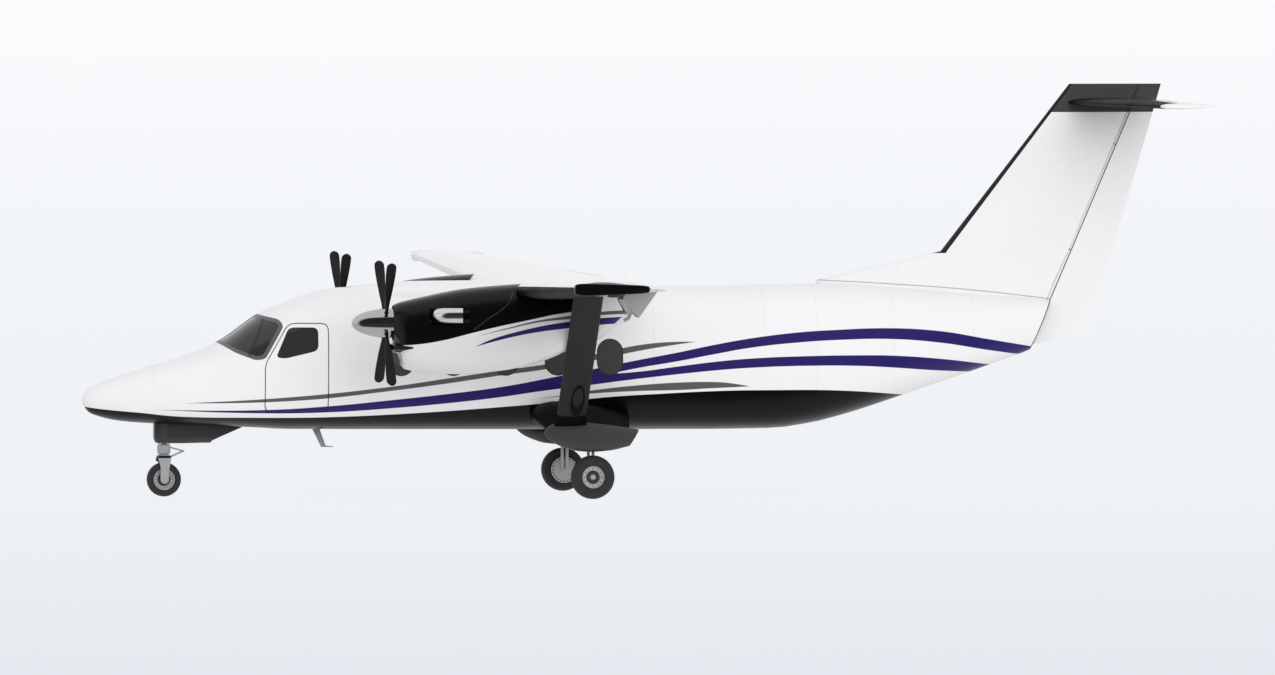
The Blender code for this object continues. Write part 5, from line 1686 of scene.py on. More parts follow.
    def scoop_ring(self, station: float, top: float, bottom: float, half: float, count: int) -> Ring:
        """One section of the scoop or of its lip."""
        return superellipse(station, self.y, (top, bottom, half, 2.2, 2.2), count)

    def build_scoop(self) -> None:
        """The black scoop under the cowl's nose, open in front, on a polished lower lip."""
        word, wall = self.side.word, 0.012
        scoop = skin(f"chin_scoop_{word}", [self.scoop_ring(*row, 48) for row in self.scoop])
        inner = ((self.scoop[0][0] - 0.02, *self.scoop[1][1:]), *self.scoop[2:4])
        hollow = skin("hollow", [
            self.scoop_ring(station, top - wall, bottom + wall, half - 0.014, 48)
            for station, top, bottom, half in inner
        ])
        combine(scoop, hollow, Join.CUT)
        fixed(scoop, 40.0, GLOSS_BLACK, "black_paint")
        lip = skin(f"chin_scoop_lip_{word}", [
            self.scoop_ring(station + 0.004, bottom + 0.022, bottom - 0.006, half * 0.72, 32)
            for station, _, bottom, half in self.scoop[:-1]
        ])
        fixed(lip, 40.0, MIRROR_ALLOY, "polished_metal")

    def build_engine(self) -> None:
        """The engine's core with its shaft, and two bent exhaust stubs."""
        word = self.side.word
        front, rear = self.core_ends
        core = rod(f"engine_core_{word}", self.on_shaft(front), self.on_shaft(rear), 0.23, 64)
        shaft = rod("shaft", self.on_shaft(self.shaft_front), self.on_shaft(front + 0.08), 0.07, 40)
        combine(core, shaft, Join.MERGE)
        fixed(core, 35.0, SOOT_AND_HOLE_SHADE, "polished_metal", f"engine_{word}")
        for flank in (-1, 1):
            self.build_stub(flank)

    def build_stub(self, flank: int) -> None:
        """A thin-walled exhaust stub that bends from the engine to the stream.

        Args:
            flank: Side of the engine, -1 or 1.
        """
        middles = [
            at(station, self.y + flank * offset, self.exhaust_height) for station, offset in self.stub_path
        ]
        outer, inner = [], []
        for index, middle in enumerate(middles):
            before, after = middles[max(index - 1, 0)], middles[min(index + 1, len(middles) - 1)]
            across = (after - before).normalized().cross(ALONG_Z)
            for wall, rings in ((0.0, outer), (self.stub_wall, inner)):
                radius = self.exhaust_radius - wall
                rings.append([middle + across * (radius * c) + ALONG_Z * (radius * s) for c, s in circle(36)])
        stub = skin(f"exhaust_stub_{self.side.word}_{flank}", outer + inner[:self.stub_hollow_from - 1:-1])
        fixed(stub, 35.0, EXHAUST_ALLOY, "polished_metal")

    def build_spinner(self) -> None:
        """The polished spinner with the joint of its back plate."""
        radius, shoulder, back = self.spinner_radius, self.spinner_shoulder, self.spinner_back
        reach = self.spinner_tip - shoulder
        profile = [(0.0, self.spinner_tip)]
        for i in range(1, 25):
            turn = math.pi / 2 * i / 24
            profile.append((radius * math.sin(turn), self.spinner_tip - reach * (1 - math.cos(turn))))
        seam = shoulder - 0.012
        profile += [
            (radius, seam), (radius - 0.003, seam - 0.002), (radius - 0.003, seam - 0.005),
            (radius, seam - 0.007), (radius, back + 0.006), (radius - 0.006, back), (0.0, back),
        ]
        spinner = turned(f"spinner_shell_{self.side.word}", self.hub, -ALONG_X, profile, 96)
        sockets = rod("socket", self.hub, self.hub + Vector((0, 0, 0.26)), 0.0265, 48)
        sockets.data.transform(self.tilt)
        round_the_axis(sockets, 4, self.hub, ALONG_X)
        combine(spinner, sockets, Join.CUT)
        word = self.side.word
        dress(shaded(spinner, 32.0), MIRROR_ALLOY, f"propeller_{word}", "polished_metal", f"spinner_{word}")

    def blade_ring(self, radius: float) -> Ring:
        """One section of the blade that stands straight up."""
        chord, thick, twist = faired(self.blade, radius)
        round_from, tip = 1.19, self.blade[-1][0]
        if radius > round_from:
            chord *= math.sqrt(max(0.012, 1 - ((radius - round_from) / (tip - round_from)) ** 2.2))
        lean = math.radians(twist)
        ring = []
        for c, s in circle(28):
            u, v = chord * c / 2, thick * s / 2
            along, across = u * math.cos(lean) - v * math.sin(lean), u * math.sin(lean) + v * math.cos(lean)
            ring.append(self.hub + Vector((along, across, radius)))
        return ring

    def build_blades(self) -> None:
        """Four feathered blades with their root collars."""
        radii = [0.10, 0.18, 0.23, 0.25, 0.27, 0.29, 0.31, 0.33] + [0.37 + 0.0450 * i for i in range(18)]
        radii += [1.18, 1.21, 1.235, 1.257, 1.273, 1.285, 1.293, 1.298, 1.30]
        word = self.side.word
        body = f"propeller_{word}"
        blade = skin(f"propeller_blade_set_{word}", [self.blade_ring(r) for r in radii])
        profile = [(0.0253, 0.200), (0.034, 0.200), (0.034, 0.228), (0.031, 0.236), (0.0253, 0.236)]
        collar = turned(f"blade_collars_{word}", self.hub, ALONG_Z, profile, 48)
        for obj in (blade, collar):
            obj.data.transform(self.tilt)
            round_the_axis(obj, 4, self.hub, ALONG_X)
        dress(shaded(blade, 45.0), BLADE_BLACK, body, "black_paint", f"propeller_blades_{word}")
        dress(shaded(collar, 35.0), DARK_STEEL, body, "dark_grey_paint")


@dataclass
class Wheel:
    """A tyre on its alloy hub."""

    tyre_node: str
    hub_node: str
    body: str
    centre: Vector
    outward: float
    radius: float
    rim: float
    width: float
    bore: float
    capped: bool
    grooves: tuple[float, ...]
    holes: int = 12
    boss: float = 0.21
    crown_power: float = 2.7

    @property
    def axis(self) -> Vector:
        """Direction away from the aircraft's middle."""
        return Vector((0.0, self.outward, 0.0))

    def build(self) -> None:
        """Builds and dresses the tyre and the hub."""
        self.build_tyre()
        self.build_hub()

    def crown(self, along: float) -> float:
        """Radius of the tyre's plain tread at a distance from its middle."""
        waist = (self.rim + self.radius) / 2
        share = min(1.0, abs(along) / (self.width / 2))
        return waist + (self.radius - waist) * (1 - share ** self.crown_power) ** (1 / self.crown_power)

    def build_tyre(self) -> None:
        """The tyre with straight tread grooves and a rib on each side."""
        half, reach, depth, slope = self.width / 2, 0.0035, 0.006, 0.0006
        stops = [half * math.sin(math.radians(a)) for a in range(-90, 91, 5)]
        tread = [
            (self.crown(a), a) for a in stops if all(abs(a - g) > reach * 1.6 for g in self.grooves)
        ]
        for g in self.grooves:
            floor = self.crown(g) - depth
            tread += [
                (self.crown(g), g - reach), (floor, g - reach + slope),
                (floor, g + reach - slope), (self.crown(g), g + reach),
            ]
        tread.sort(key=lambda point: point[1])
        side_wall = [
            (self.rim + out, half * share) for out, share in (
                (0.052, 0.992), (0.046, 1.004), (0.038, 1.000), (0.034, 0.975), (0.018, 0.925),
                (0.006, 0.850), (0.0003, 0.80),
            )
        ]
        profile = tread + side_wall + [(r, -a) for r, a in reversed(side_wall)]
        tyre = turned(f"{self.tyre_node}_rubber", self.centre, self.axis, profile, 112)
        dress(shaded(tyre, 32.0), TYRE_RUBBER, self.body, "tyre_rubber", self.tyre_node)

    def sized(self, profile: Sequence[Point]) -> list[Point]:
        """A profile given in shares of the rim's radius and of half the width."""
        return [(self.rim * r, self.width / 2 * a) for r, a in profile]

    def build_hub(self) -> None:
        """The hub with its flange, a ring of dark discs painted as the shade of holes, bolts and cap."""
        bore, boss = self.bore / self.rim, self.boss
        face = [
            (0.995, 0.78), (0.97, 0.84), (0.935, 0.82), (0.90, 0.66), (0.87, 0.52), (0.70, 0.45),
            (0.655, 0.40), (0.63, 0.30), (boss + 0.035, 0.27), (boss + 0.010, 0.34), (boss, 0.62),
        ]
        if self.capped:
            front = face + [(boss * 0.9, 0.70), (0.15, 0.76), (0.0, 0.78)]
            back = face[:-1] + [(boss, 0.50), (bore, 0.55), (bore, -0.65), (0.0, -0.65)]
        else:
            front = back = face + [(boss * 0.9, 0.66), (bore, 0.66)]
        profile = self.sized(list(reversed(front)) + [(r, -a) for r, a in back])
        hub = turned(f"{self.hub_node}_alloy", self.centre, self.axis, profile, 96)
        dress(shaded(hub, 30.0), CAST_ALLOY, self.body, "wheel_alloy", self.hub_node)
        for index, way in enumerate((1.0,) if self.capped else (1.0, -1.0)):
            self.build_fittings(self.axis * way, index)

    def build_fittings(self, aim: Vector, index: int) -> None:
        """Dark discs painted as the shade of holes, a ring of painted shade in the recess, and the bolts of
        one face of the hub.

        Args:
            aim: Direction that the face looks in.
            index: Number of the face.
        """
        opening = [(0.0, 0.40), (0.058, 0.40), (0.058, 0.487), (0.048, 0.495), (0.0, 0.492)]
        bolt = [(0.0, 0.25), (0.030, 0.25), (0.030, 0.34), (0.020, 0.37), (0.0, 0.37)]
        ring = [(0.60, 0.295), (0.60, 0.305), (self.boss + 0.05, 0.280), (self.boss + 0.05, 0.270)]
        # Holes and recess are shown by dark discs and a ring of painted shade
        for name, pitch, profile, steps, count, angle, finish, slot in (
            ("hole_shade_discs", 0.785, opening, 16, self.holes, 35.0, SOOT_AND_HOLE_SHADE, "dark_grey_paint"),
            ("bolts", 0.525, bolt, 6, 9, 0.0, DARK_STEEL, "wheel_alloy"),
            ("recess", 0.0, ring, 72, 1, 35.0, RECESS_SHADE_GREY, "dark_grey_paint"),
        ):
            centre = self.centre + ALONG_Z * (self.rim * pitch)
            made = turned(f"{self.hub_node}_{name}_{index}", centre, aim, self.sized(profile), steps)
            round_the_axis(made, count, self.centre, aim)
            dress(shaded(made, angle) if angle else made, finish, self.body, slot)


@dataclass
class MainGear:
    """Wing strut, stub fairing, pod, leg and wheel of one side."""

    side: Side
    wing: Wing
    pod_lateral: float = 1.98
    # Station, top, bottom, half width
    pod: Table = (
        (6.82, 1.02, 0.99, 0.015), (6.86, 1.075, 0.935, 0.06), (6.96, 1.14, 0.855, 0.105),
        (7.11, 1.166, 0.785, 0.145), (7.29, 1.16, 0.731, 0.17), (7.53, 1.148, 0.713, 0.18),
        (7.8, 1.12, 0.73, 0.17), (8.1, 1.078, 0.796, 0.14), (8.42, 1.015, 0.88, 0.11),
    )
    # Side outline of what is cut away behind the pod's slanted end
    pod_end: Outline = ((7.932, 0.50), (8.409, 1.30), (8.90, 1.30), (8.90, 0.50))
    strut: tuple[Point, Point] = ((2.00, 1.08), (4.52, 3.20))
    strut_station: float = 7.21
    strut_chord: float = 0.45
    strut_thickness: float = 0.075
    # Cuff: share of the way up, factors of the strut's chord and thickness
    cuff: Table = ((0.02, 1.10, 1.9), (0.075, 1.045, 1.35), (0.10, 1.006, 1.02))
    # Middle of the oval port: distance behind the strut's middle line and along it from its foot
    port_shift: float = 0.055
    port_height: float = 0.685
    # Distance from the middle, front, back, top, bottom
    stub: Table = (
        (0.55, 6.72, 8.23, 1.475, 1.045), (1.0, 6.73, 8.22, 1.455, 1.05), (1.97, 6.93, 8.12, 1.15, 0.88),
    )
    station: float = 7.562
    lateral: float = 1.96
    radius: float = 0.33

    def build(self) -> None:
        """Builds and dresses one side's gear."""
        self.build_pod()
        self.build_stub()
        self.build_strut()
        self.build_leg()
        word, sign = self.side.word, self.side.value
        centre = at(self.station, sign * self.lateral, self.radius)
        Wheel(
            f"main_tyre_{word}", f"main_hub_{word}", f"main_wheel_{word}", centre, sign, self.radius,
            rim=0.17, width=0.25, bore=0.0326, capped=True, grooves=(-0.066, -0.024, 0.024, 0.066),
        ).build()

    def build_pod(self) -> None:
        """The streamlined pod with its slanted end."""
        word, y = self.side.word, self.side.value * self.pod_lateral
        first, last = self.pod[0][0], self.pod[-1][0]
        rings = []
        for i in range(57):
            station = first + (last - first) * (1 - math.cos(math.pi * i / 56)) / 2
            rings.append(superellipse(station, y, (*faired(self.pod, station), 2.4, 2.4), 48))
        pod = skin(f"gear_pod_skin_{word}", rings)
        combine(pod, slab("pod_end", self.pod_end, y - 0.3, y + 0.3), Join.CUT)
        fixed(pod, 35.0, POD_GREY, "dark_grey_paint", f"gear_pod_{word}")

    def build_stub(self) -> None:
        """The fairing between the body and the pod."""
        rings = []
        for y in spread(self.stub[0][0], self.stub[-1][0], 8):
            front, back, top, bottom = faired(self.stub, y)
            points = airfoil(back - front, top - bottom, 0.0)
            rings.append([at(front + x, self.side.value * y, (top + bottom) / 2 + z) for x, z in points])
        stub = skin(f"stub_fairing_skin_{self.side.word}", rings)
        fixed(stub, 35.0, SATIN_BLACK, "black_paint", f"stub_fairing_{self.side.word}")

    def strut_ring(self, share: float, chord: float = 1.0, thickness: float = 1.0) -> Ring:
        """A section of the strut at a share of its way up, with its size changed by two factors."""
        (low_y, low_z), (high_y, high_z) = self.strut
        y, z = low_y + (high_y - low_y) * share, low_z + (high_z - low_z) * share
        u, v = self.strut_chord * chord / 2, self.strut_thickness * thickness / 2
        return [at(self.strut_station + u * c, self.side.value * y, z + v * s) for c, s in circle(48)]

    def build_strut(self) -> None:
        """The strut with a cuff at its foot and an oval port above it."""
        word, sign = self.side.word, self.side.value
        strut = skin(f"wing_strut_skin_{word}", [self.strut_ring(share) for share in spread(0.0, 1.0, 12)])
        fixed(strut, 35.0, CHARCOAL, "dark_grey_paint", f"wing_strut_{word}")
        cuff = skin(f"strut_foot_cuff_{word}", [self.strut_ring(*row) for row in self.cuff])
        fixed(cuff, 40.0, SATIN_BLACK, "black_paint")
        (low_y, low_z), (high_y, high_z) = self.strut
        up = Vector((0.0, sign * (high_y - low_y), high_z - low_z)).normalized()
        out = Vector((0.0, sign * up.z, -abs(up.y)))
        middle = at(self.strut_station + self.port_shift, sign * low_y, low_z) + up * self.port_height
        for name, shift, half_across, half_along, lift, finish in (
            ("surround", 0.0, 0.104, 0.380, 0.0375, MATT_BLACK),
            ("port", 0.080, 0.072, 0.222, 0.0395, CHARCOAL),
        ):
            rings = []
            for share, height in ((1.0, -0.05), (1.0, lift - 0.002), (0.98, lift)):
                start = middle + out * height + up * shift
                rings.append([
                    start + up * (half_along * share * s) + ALONG_X * (half_across * share * c)
                    for c, s in circle(40)
                ])
            fixed(skin(f"strut_{name}_{word}", rings), 30.0, finish, "tinted_glass")

    def build_leg(self) -> None:
        """The leg's tubes with the brake housing and a ring of dark discs on it, painted as the shade of
        holes.
        """
        word, outward = self.side.word, ALONG_Y * self.side.value
        leg = smooth_copy(f"main_leg_{word}", f"main_leg_tubes_{word}", 40.0)
        dress(leg, LEG_GREY, "airframe", "light_grey_enamel", f"main_leg_{word}")
        centre = at(self.station, self.side.value * (self.lateral - 0.24), self.radius)
        profile = [
            (0.034, 0.020), (0.194, 0.020), (0.200, 0.026), (0.200, 0.046), (0.193, 0.054), (0.150, 0.060),
            (0.145, 0.068), (0.120, 0.070), (0.112, 0.078), (0.075, 0.090), (0.034, 0.090),
        ]
        brake = turned(f"brake_housing_{word}", centre, outward, profile, 64)
        fixed(brake, 32.0, CAST_ALLOY, "light_grey_enamel")
        # Dark discs of painted shade stand for the housing's holes
        profile = [(0.0, 0.017), (0.0105, 0.017), (0.0105, 0.0215), (0.0, 0.0215)]
        hole = turned(f"brake_holes_{word}", centre + ALONG_Z * 0.180, outward, profile, 12)
        round_the_axis(hole, 24, centre, ALONG_Y)
        fixed(hole, 32.0, SOOT_AND_HOLE_SHADE, "dark_grey_paint")


@dataclass
class NoseGear:
    """Nose leg fairing, shock strut, steered fork, torque link and wheel."""

    station: float = 1.247
    radius: float = 0.26
    # Station, bottom, half width
    fairing: Table = (
        (1.095, 0.86, 0.1), (1.13, 0.81, 0.125), (1.5, 0.805, 0.135), (1.92, 0.812, 0.115),
        (2.25, 0.812, 0.07), (2.43, 0.812, 0.03),
    )
    # Side outline of what is cut away below its rear end
    fairing_end: Outline = (
        (1.946, 0.7), (1.946, 0.812), (1.975, 0.848), (2.12, 0.915), (2.432, 1.046), (2.6, 1.046),
        (2.6, 0.7),
    )

    def build(self) -> None:
        """Builds and dresses the nose gear."""
        self.build_fairing()
        self.build_strut()
        self.build_fork()
        self.build_link()
        Wheel(
            "nose_tyre", "nose_hub", "nose_wheel", at(self.station, 0.0, self.radius), -1.0, self.radius,
            rim=0.163, width=0.18, bore=0.0226, capped=False, grooves=(-0.032, 0.032), holes=16,
            crown_power=2.5,
        ).build()

    def around(self, name: str, profile: Sequence[Point], steps: int = 72) -> Piece:
        """A piece turned round the leg, from radii and heights."""
        return turned(name, at(self.station, 0.0, 0.0), ALONG_Z, profile, steps)

    def plate(self, name: str, outline: Sequence[Point], half: float, corner: float, steps: int) -> Piece:
        """A plate across the leg, from stations counted from the leg and heights."""
        places = [(self.station + ahead, height) for ahead, height in outline]
        return slab(name, rounded(places, corner, steps), -half, half)

    def build_fairing(self) -> None:
        """The fairing behind the leg and the round housing round its top."""
        rings = []
        for station in spread(self.fairing[0][0], self.fairing[-1][0], 40, 1.1):
            bottom, half = faired(self.fairing, station)
            rings.append(superellipse(station, 0.0, (1.20, bottom, half, 3.0, 3.0), 48))
        fairing = skin("nose_leg_fairing", rings)
        seat = rod("oleo_seat", at(self.station, 0.0, 0.60), at(self.station, 0.0, 0.9503), 0.0883, 48)
        combine(fairing, seat, Join.CUT)
        combine(fairing, slab("fairing_end", self.fairing_end, -0.3, 0.3), Join.CUT)
        fixed(fairing, 35.0, NOSE_BLACK, "black_paint", "nose_gear_fairing")
        profile = [(0.0890, 0.822), (0.128, 0.822), (0.1385, 0.832), (0.1385, 1.13), (0.0890, 1.13)]
        fixed(self.around("nose_leg_housing", profile), 35.0, POD_GREY, "dark_grey_paint")

    def build_strut(self) -> None:
        """The outer tube of the shock strut."""
        profile = [(0.0, 0.685), (0.0845, 0.685), (0.0880, 0.689), (0.0880, 0.950), (0.0, 0.950)]
        tube = self.around("nose_shock_strut", profile)
        fixed(tube, 32.0, GROUND_STEEL, "light_grey_enamel", "nose_oleo")

    def build_fork(self) -> None:
        """The forged fork: a flared yoke and two legs that reach the axle."""
        s, body = self.station, "nose_steering"
        front = (
            (-0.096, 0.588), (-0.100, 0.580), (-0.093, 0.560), (-0.072, 0.500), (-0.062, 0.440),
            (-0.060, 0.380), (-0.062, 0.300),
        )
        rear = (
            (0.062, 0.300), (0.066, 0.380), (0.074, 0.440), (0.086, 0.500), (0.093, 0.560), (0.100, 0.580),
            (0.096, 0.588),
        )
        outline = [(s + ahead, height) for ahead, height in front]
        outline += arc((s, self.radius), 0.064, 172, 368, 20)
        outline += [(s + ahead, height) for ahead, height in rear]
        legs = [soften(slab("fork_leg", outline, *side.span(0.1165, 0.152)), 0.008, 3) for side in Side]
        stem = self.around("stem", [
            (0.0, 0.58), (0.090, 0.58), (0.090, 0.628), (0.0745, 0.640), (0.0720, 0.6847), (0.0, 0.6847)
        ], 64)
        axle = cross_rod("axle", (s, self.radius), (-0.158, 0.158), 0.0218, 40)
        fork = merge("nose_fork_forging", *legs, stem, axle)
        yoke = ((-0.100, 0.562), (-0.100, 0.6197), (0.100, 0.6197), (0.100, 0.562))
        stop = ((-0.118, 0.535), (-0.118, 0.590), (-0.085, 0.590), (-0.085, 0.535))
        dress(shaded(fork, 32.0), LEG_GREY, body, "light_grey_enamel", "nose_fork")
        made = soften(self.plate("nose_fork_yoke", yoke, 0.150, 0.02, 6), 0.010, 3)
        dress(shaded(made, 32.0), DARK_STEEL, body, "dark_grey_paint")
        ends = [(side.value * 0.150, side.value * 0.168) for side in Side]
        nuts = [cross_rod("axle_nut", (s, self.radius), span, 0.030, 6) for span in ends]
        made = soften(merge("nose_axle_nuts", *nuts), 0.003)
        dress(shaded(made, 32.0), CAST_ALLOY, body, "light_grey_enamel")
        made = self.plate("tow_stop", stop, 0.05, 0.01, 4)
        dress(shaded(made, 32.0), DARK_STEEL, body, "dark_grey_paint")

    def build_link(self) -> None:
        """The torque link's collar and its two slim arms."""
        foot = self.station + 0.085
        collar = self.around("torque_link_collar", [
            (0.0898, 0.652), (0.098, 0.652), (0.100, 0.655), (0.100, 0.700), (0.096, 0.703), (0.096, 0.710),
            (0.100, 0.713), (0.100, 0.778), (0.097, 0.782), (0.0898, 0.782),
        ])
        dress(shaded(collar, 32.0), LEG_GREY, "nose_steering", "light_grey_enamel", "nose_torque_link")
        arms = []
        apex = (1.545, 0.690)
        for end in ((1.340, 0.745), (1.315, 0.590)):
            arms += [link_plate(end, apex, 0.0125, *side.span(0.018, 0.032), "arm") for side in Side]
            arms.append(cross_rod("boss", end, (-0.034, 0.034), 0.016, 24))
        arms.append(cross_rod("apex_pin", apex, (-0.040, 0.040), 0.014, 24))
        for lug in (
            ((foot, 0.725), (1.35, 0.732), (1.35, 0.758), (foot, 0.770)),
            ((foot, 0.580), (1.325, 0.580), (1.325, 0.600), (foot, 0.612)),
        ):
            arms.append(slab("lug", lug, -0.016, 0.016))
        link = merge("torque_link_arms", *arms)
        dress(shaded(link, 32.0), LEG_GREY, "nose_steering", "light_grey_enamel")


@dataclass
class Tail:
    """Fin with its dorsal fillet, rudder, stabilizer and elevators."""

    hinge_foot: Point = RUDDER_HINGE[0]
    hinge_head: Point = RUDDER_HINGE[1]
    edge_foot: Point = (15.39, 2.447)
    edge_head: Point = (16.50, 6.23)
    # Leading edge, height, thickness
    fin: Table = (
        (11.55, 2.9, 0.235), (11.19, 3.25, 0.235), (13.12, 3.69, 0.225), (15.082, 6.22, 0.15),
        (15.095, 6.23, 0.14),
    )
    lug_heights: tuple[float, ...] = (2.75, 3.70, 5.30)
    # Half height of the slot that a lug has in the rudder
    slot_half: float = 0.0104
    rudder_foot: float = 2.262
    edge_half: float = 0.006
    stabilizer_height: float = 5.95
    stabilizer_tail: float = 16.80
    # Distance from the middle, leading edge, thickness
    stabilizer: Table = (
        (-4.0, 15.99, 0.045), (-3.985, 15.982, 0.065), (-3.95, 15.97, 0.08), (-3.9, 15.955, 0.088),
        (0.0, 15.05, 0.125), (3.9, 15.955, 0.088), (3.95, 15.97, 0.08), (3.985, 15.982, 0.065),
        (4.0, 15.99, 0.045),
    )
    elevator_hinge: float = 16.24
    elevator_span: Point = (0.32, 3.86)

    def hinge_station(self, height: float) -> float:
        """Station of the rudder's hinge line at a height."""
        return on_line(self.hinge_foot, self.hinge_head, height)

    def edge_station(self, height: float) -> float:
        """Station of the rudder's trailing edge at a height."""
        return on_line(self.edge_foot, self.edge_head, height)

    def nose_radius(self, height: float) -> float:
        """Nose radius of the rudder at a height."""
        return 0.055 + (self.hinge_head[1] - height) * 0.004

    def hinge_axes(self) -> tuple[Vector, Vector]:
        """Direction of the hinge line upwards, and the one square to it that points forward."""
        (foot, low), (head, high) = self.hinge_foot, self.hinge_head
        line = Vector((head - foot, 0.0, high - low)).normalized()
        return line, Vector((-line.z, 0.0, line.x))

    def build(self) -> None:
        """Builds and dresses the tail."""
        self.build_fin()
        self.build_rudder()
        self.build_stabilizer()
        for side in Side:
            node = f"elevator_{side.word}"
            surface = weighted(smooth_copy(node, f"{node}_skin", 40.0))
            dress(surface, GLOSS_WHITE, f"{side.word}_elevator", "white_paint", node)

    def rudder_room(self) -> Piece:
        """The space that the swinging rudder needs in the fin and the body."""
        steps = []
        for height in (2.0, self.hinge_head[1] + 0.1):
            x = self.hinge_station(height)
            ring = cove_ring((x, 0.0), x + 2.0, self.nose_radius(height) + 0.016, 0.6)
            steps.append([at(s, y, height) for s, y in ring])
        return skin("rudder_room", steps)

    def build_rudder(self) -> None:
        """The rudder, with the slots of its hinge lugs kept inside its nose."""
        heights = spread(self.rudder_foot, self.hinge_head[1], 24)
        rings = []
        for low, tail_z in zip(heights, spread(self.edge_foot[1], self.edge_head[1], 24)):
            hinge, tail, nose = self.hinge_station(low), self.edge_station(tail_z), self.nose_radius(low)
            section = arc((0.0, 0.0), nose, 90, 270, 16)
            section += [(tail - hinge, -self.edge_half), (tail - hinge, self.edge_half)]
            rings.append([
                at(hinge + x, y, low + (tail_z - low) * max(0.0, x) / (tail - hinge)) for x, y in section
            ])
        rudder = skin("rudder_skin", rings)
        line, forward = self.hinge_axes()
        up = line * self.slot_half
        for height in self.lug_heights:
            middle = at(self.hinge_station(height), 0.0, height)
            slot = rod("slot", middle - up, middle + up, 0.0445, 40)
            # The mouth widens forward by a little more than the rudder swings
            mouth = []
            for ahead, half in ((0.0, 0.050), (0.12, 0.114)):
                centre, side = middle + forward * ahead, ALONG_Y * half
                mouth.append([centre - up - side, centre + up - side, centre + up + side, centre - up + side])
            combine(slot, skin("slot_mouth", mouth), Join.MERGE)
            combine(rudder, slot, Join.CUT)
        dress(shaded(rudder, 35.0), FIN_PAINT, "tail_rudder", "white_paint", "rudder")

    def build_fin(self) -> None:
        """The fin, open behind for the rudder, with the rudder's hinge lugs."""
        rings = []
        for front, height, thickness in self.fin:
            points = airfoil(self.edge_station(height) - front, thickness, 0.0)
            rings.append([at(front + x, z, height) for x, z in points])
        fin = skin("fin_skin", rings)
        combine(fin, self.rudder_room(), Join.CUT)
        fixed(fin, 35.0, FIN_PAINT, "white_paint", "fin")
        line, forward = self.hinge_axes()
        lugs = []
        for height in self.lug_heights:
            for reach, radius in ((0.0, 0.040), (0.07, 0.035)):
                centre = at(self.hinge_station(height), 0.0, height) + forward * reach
                lugs.append(rod("rudder_lug", centre - line * 0.01, centre + line * 0.01, radius, 32))
        fixed(merge("rudder_hinge_lugs", *lugs), 40.0, LEG_GREY, "light_grey_enamel")

    def build_stabilizer(self) -> None:
        """The stabilizer with the room that the rudder and the elevators need."""
        rings = []
        for y, front, thickness in self.stabilizer:
            points = airfoil(self.stabilizer_tail - front, thickness, 0.0)
            rings.append([at(front + x, y, self.stabilizer_height + z) for x, z in points])
        plane = skin("stabilizer_skin", rings)
        notch = ((15.96, 0.11), (16.10, 0.20), (17.2, 0.62), (17.2, -0.62), (16.10, -0.20), (15.96, -0.11))
        sweep = skin("sweep", [[at(s, y, z) for s, y in notch] for z in (5.5, 6.4)])
        combine(plane, sweep, Join.CUT)
        hinge = (self.elevator_hinge, self.stabilizer_height)
        for side in Side:
            rings = []
            for y in self.elevator_span:
                ring = cove_ring(hinge, self.stabilizer_tail + 0.3, 0.050 - 0.001 * y, 0.2)
                rings.append([at(s, side.value * y, z) for s, z in ring])
            combine(plane, skin("elevator_cove", rings), Join.CUT)
        fixed(plane, 35.0, STABILIZER_PAINT, "white_paint", "stabilizer")


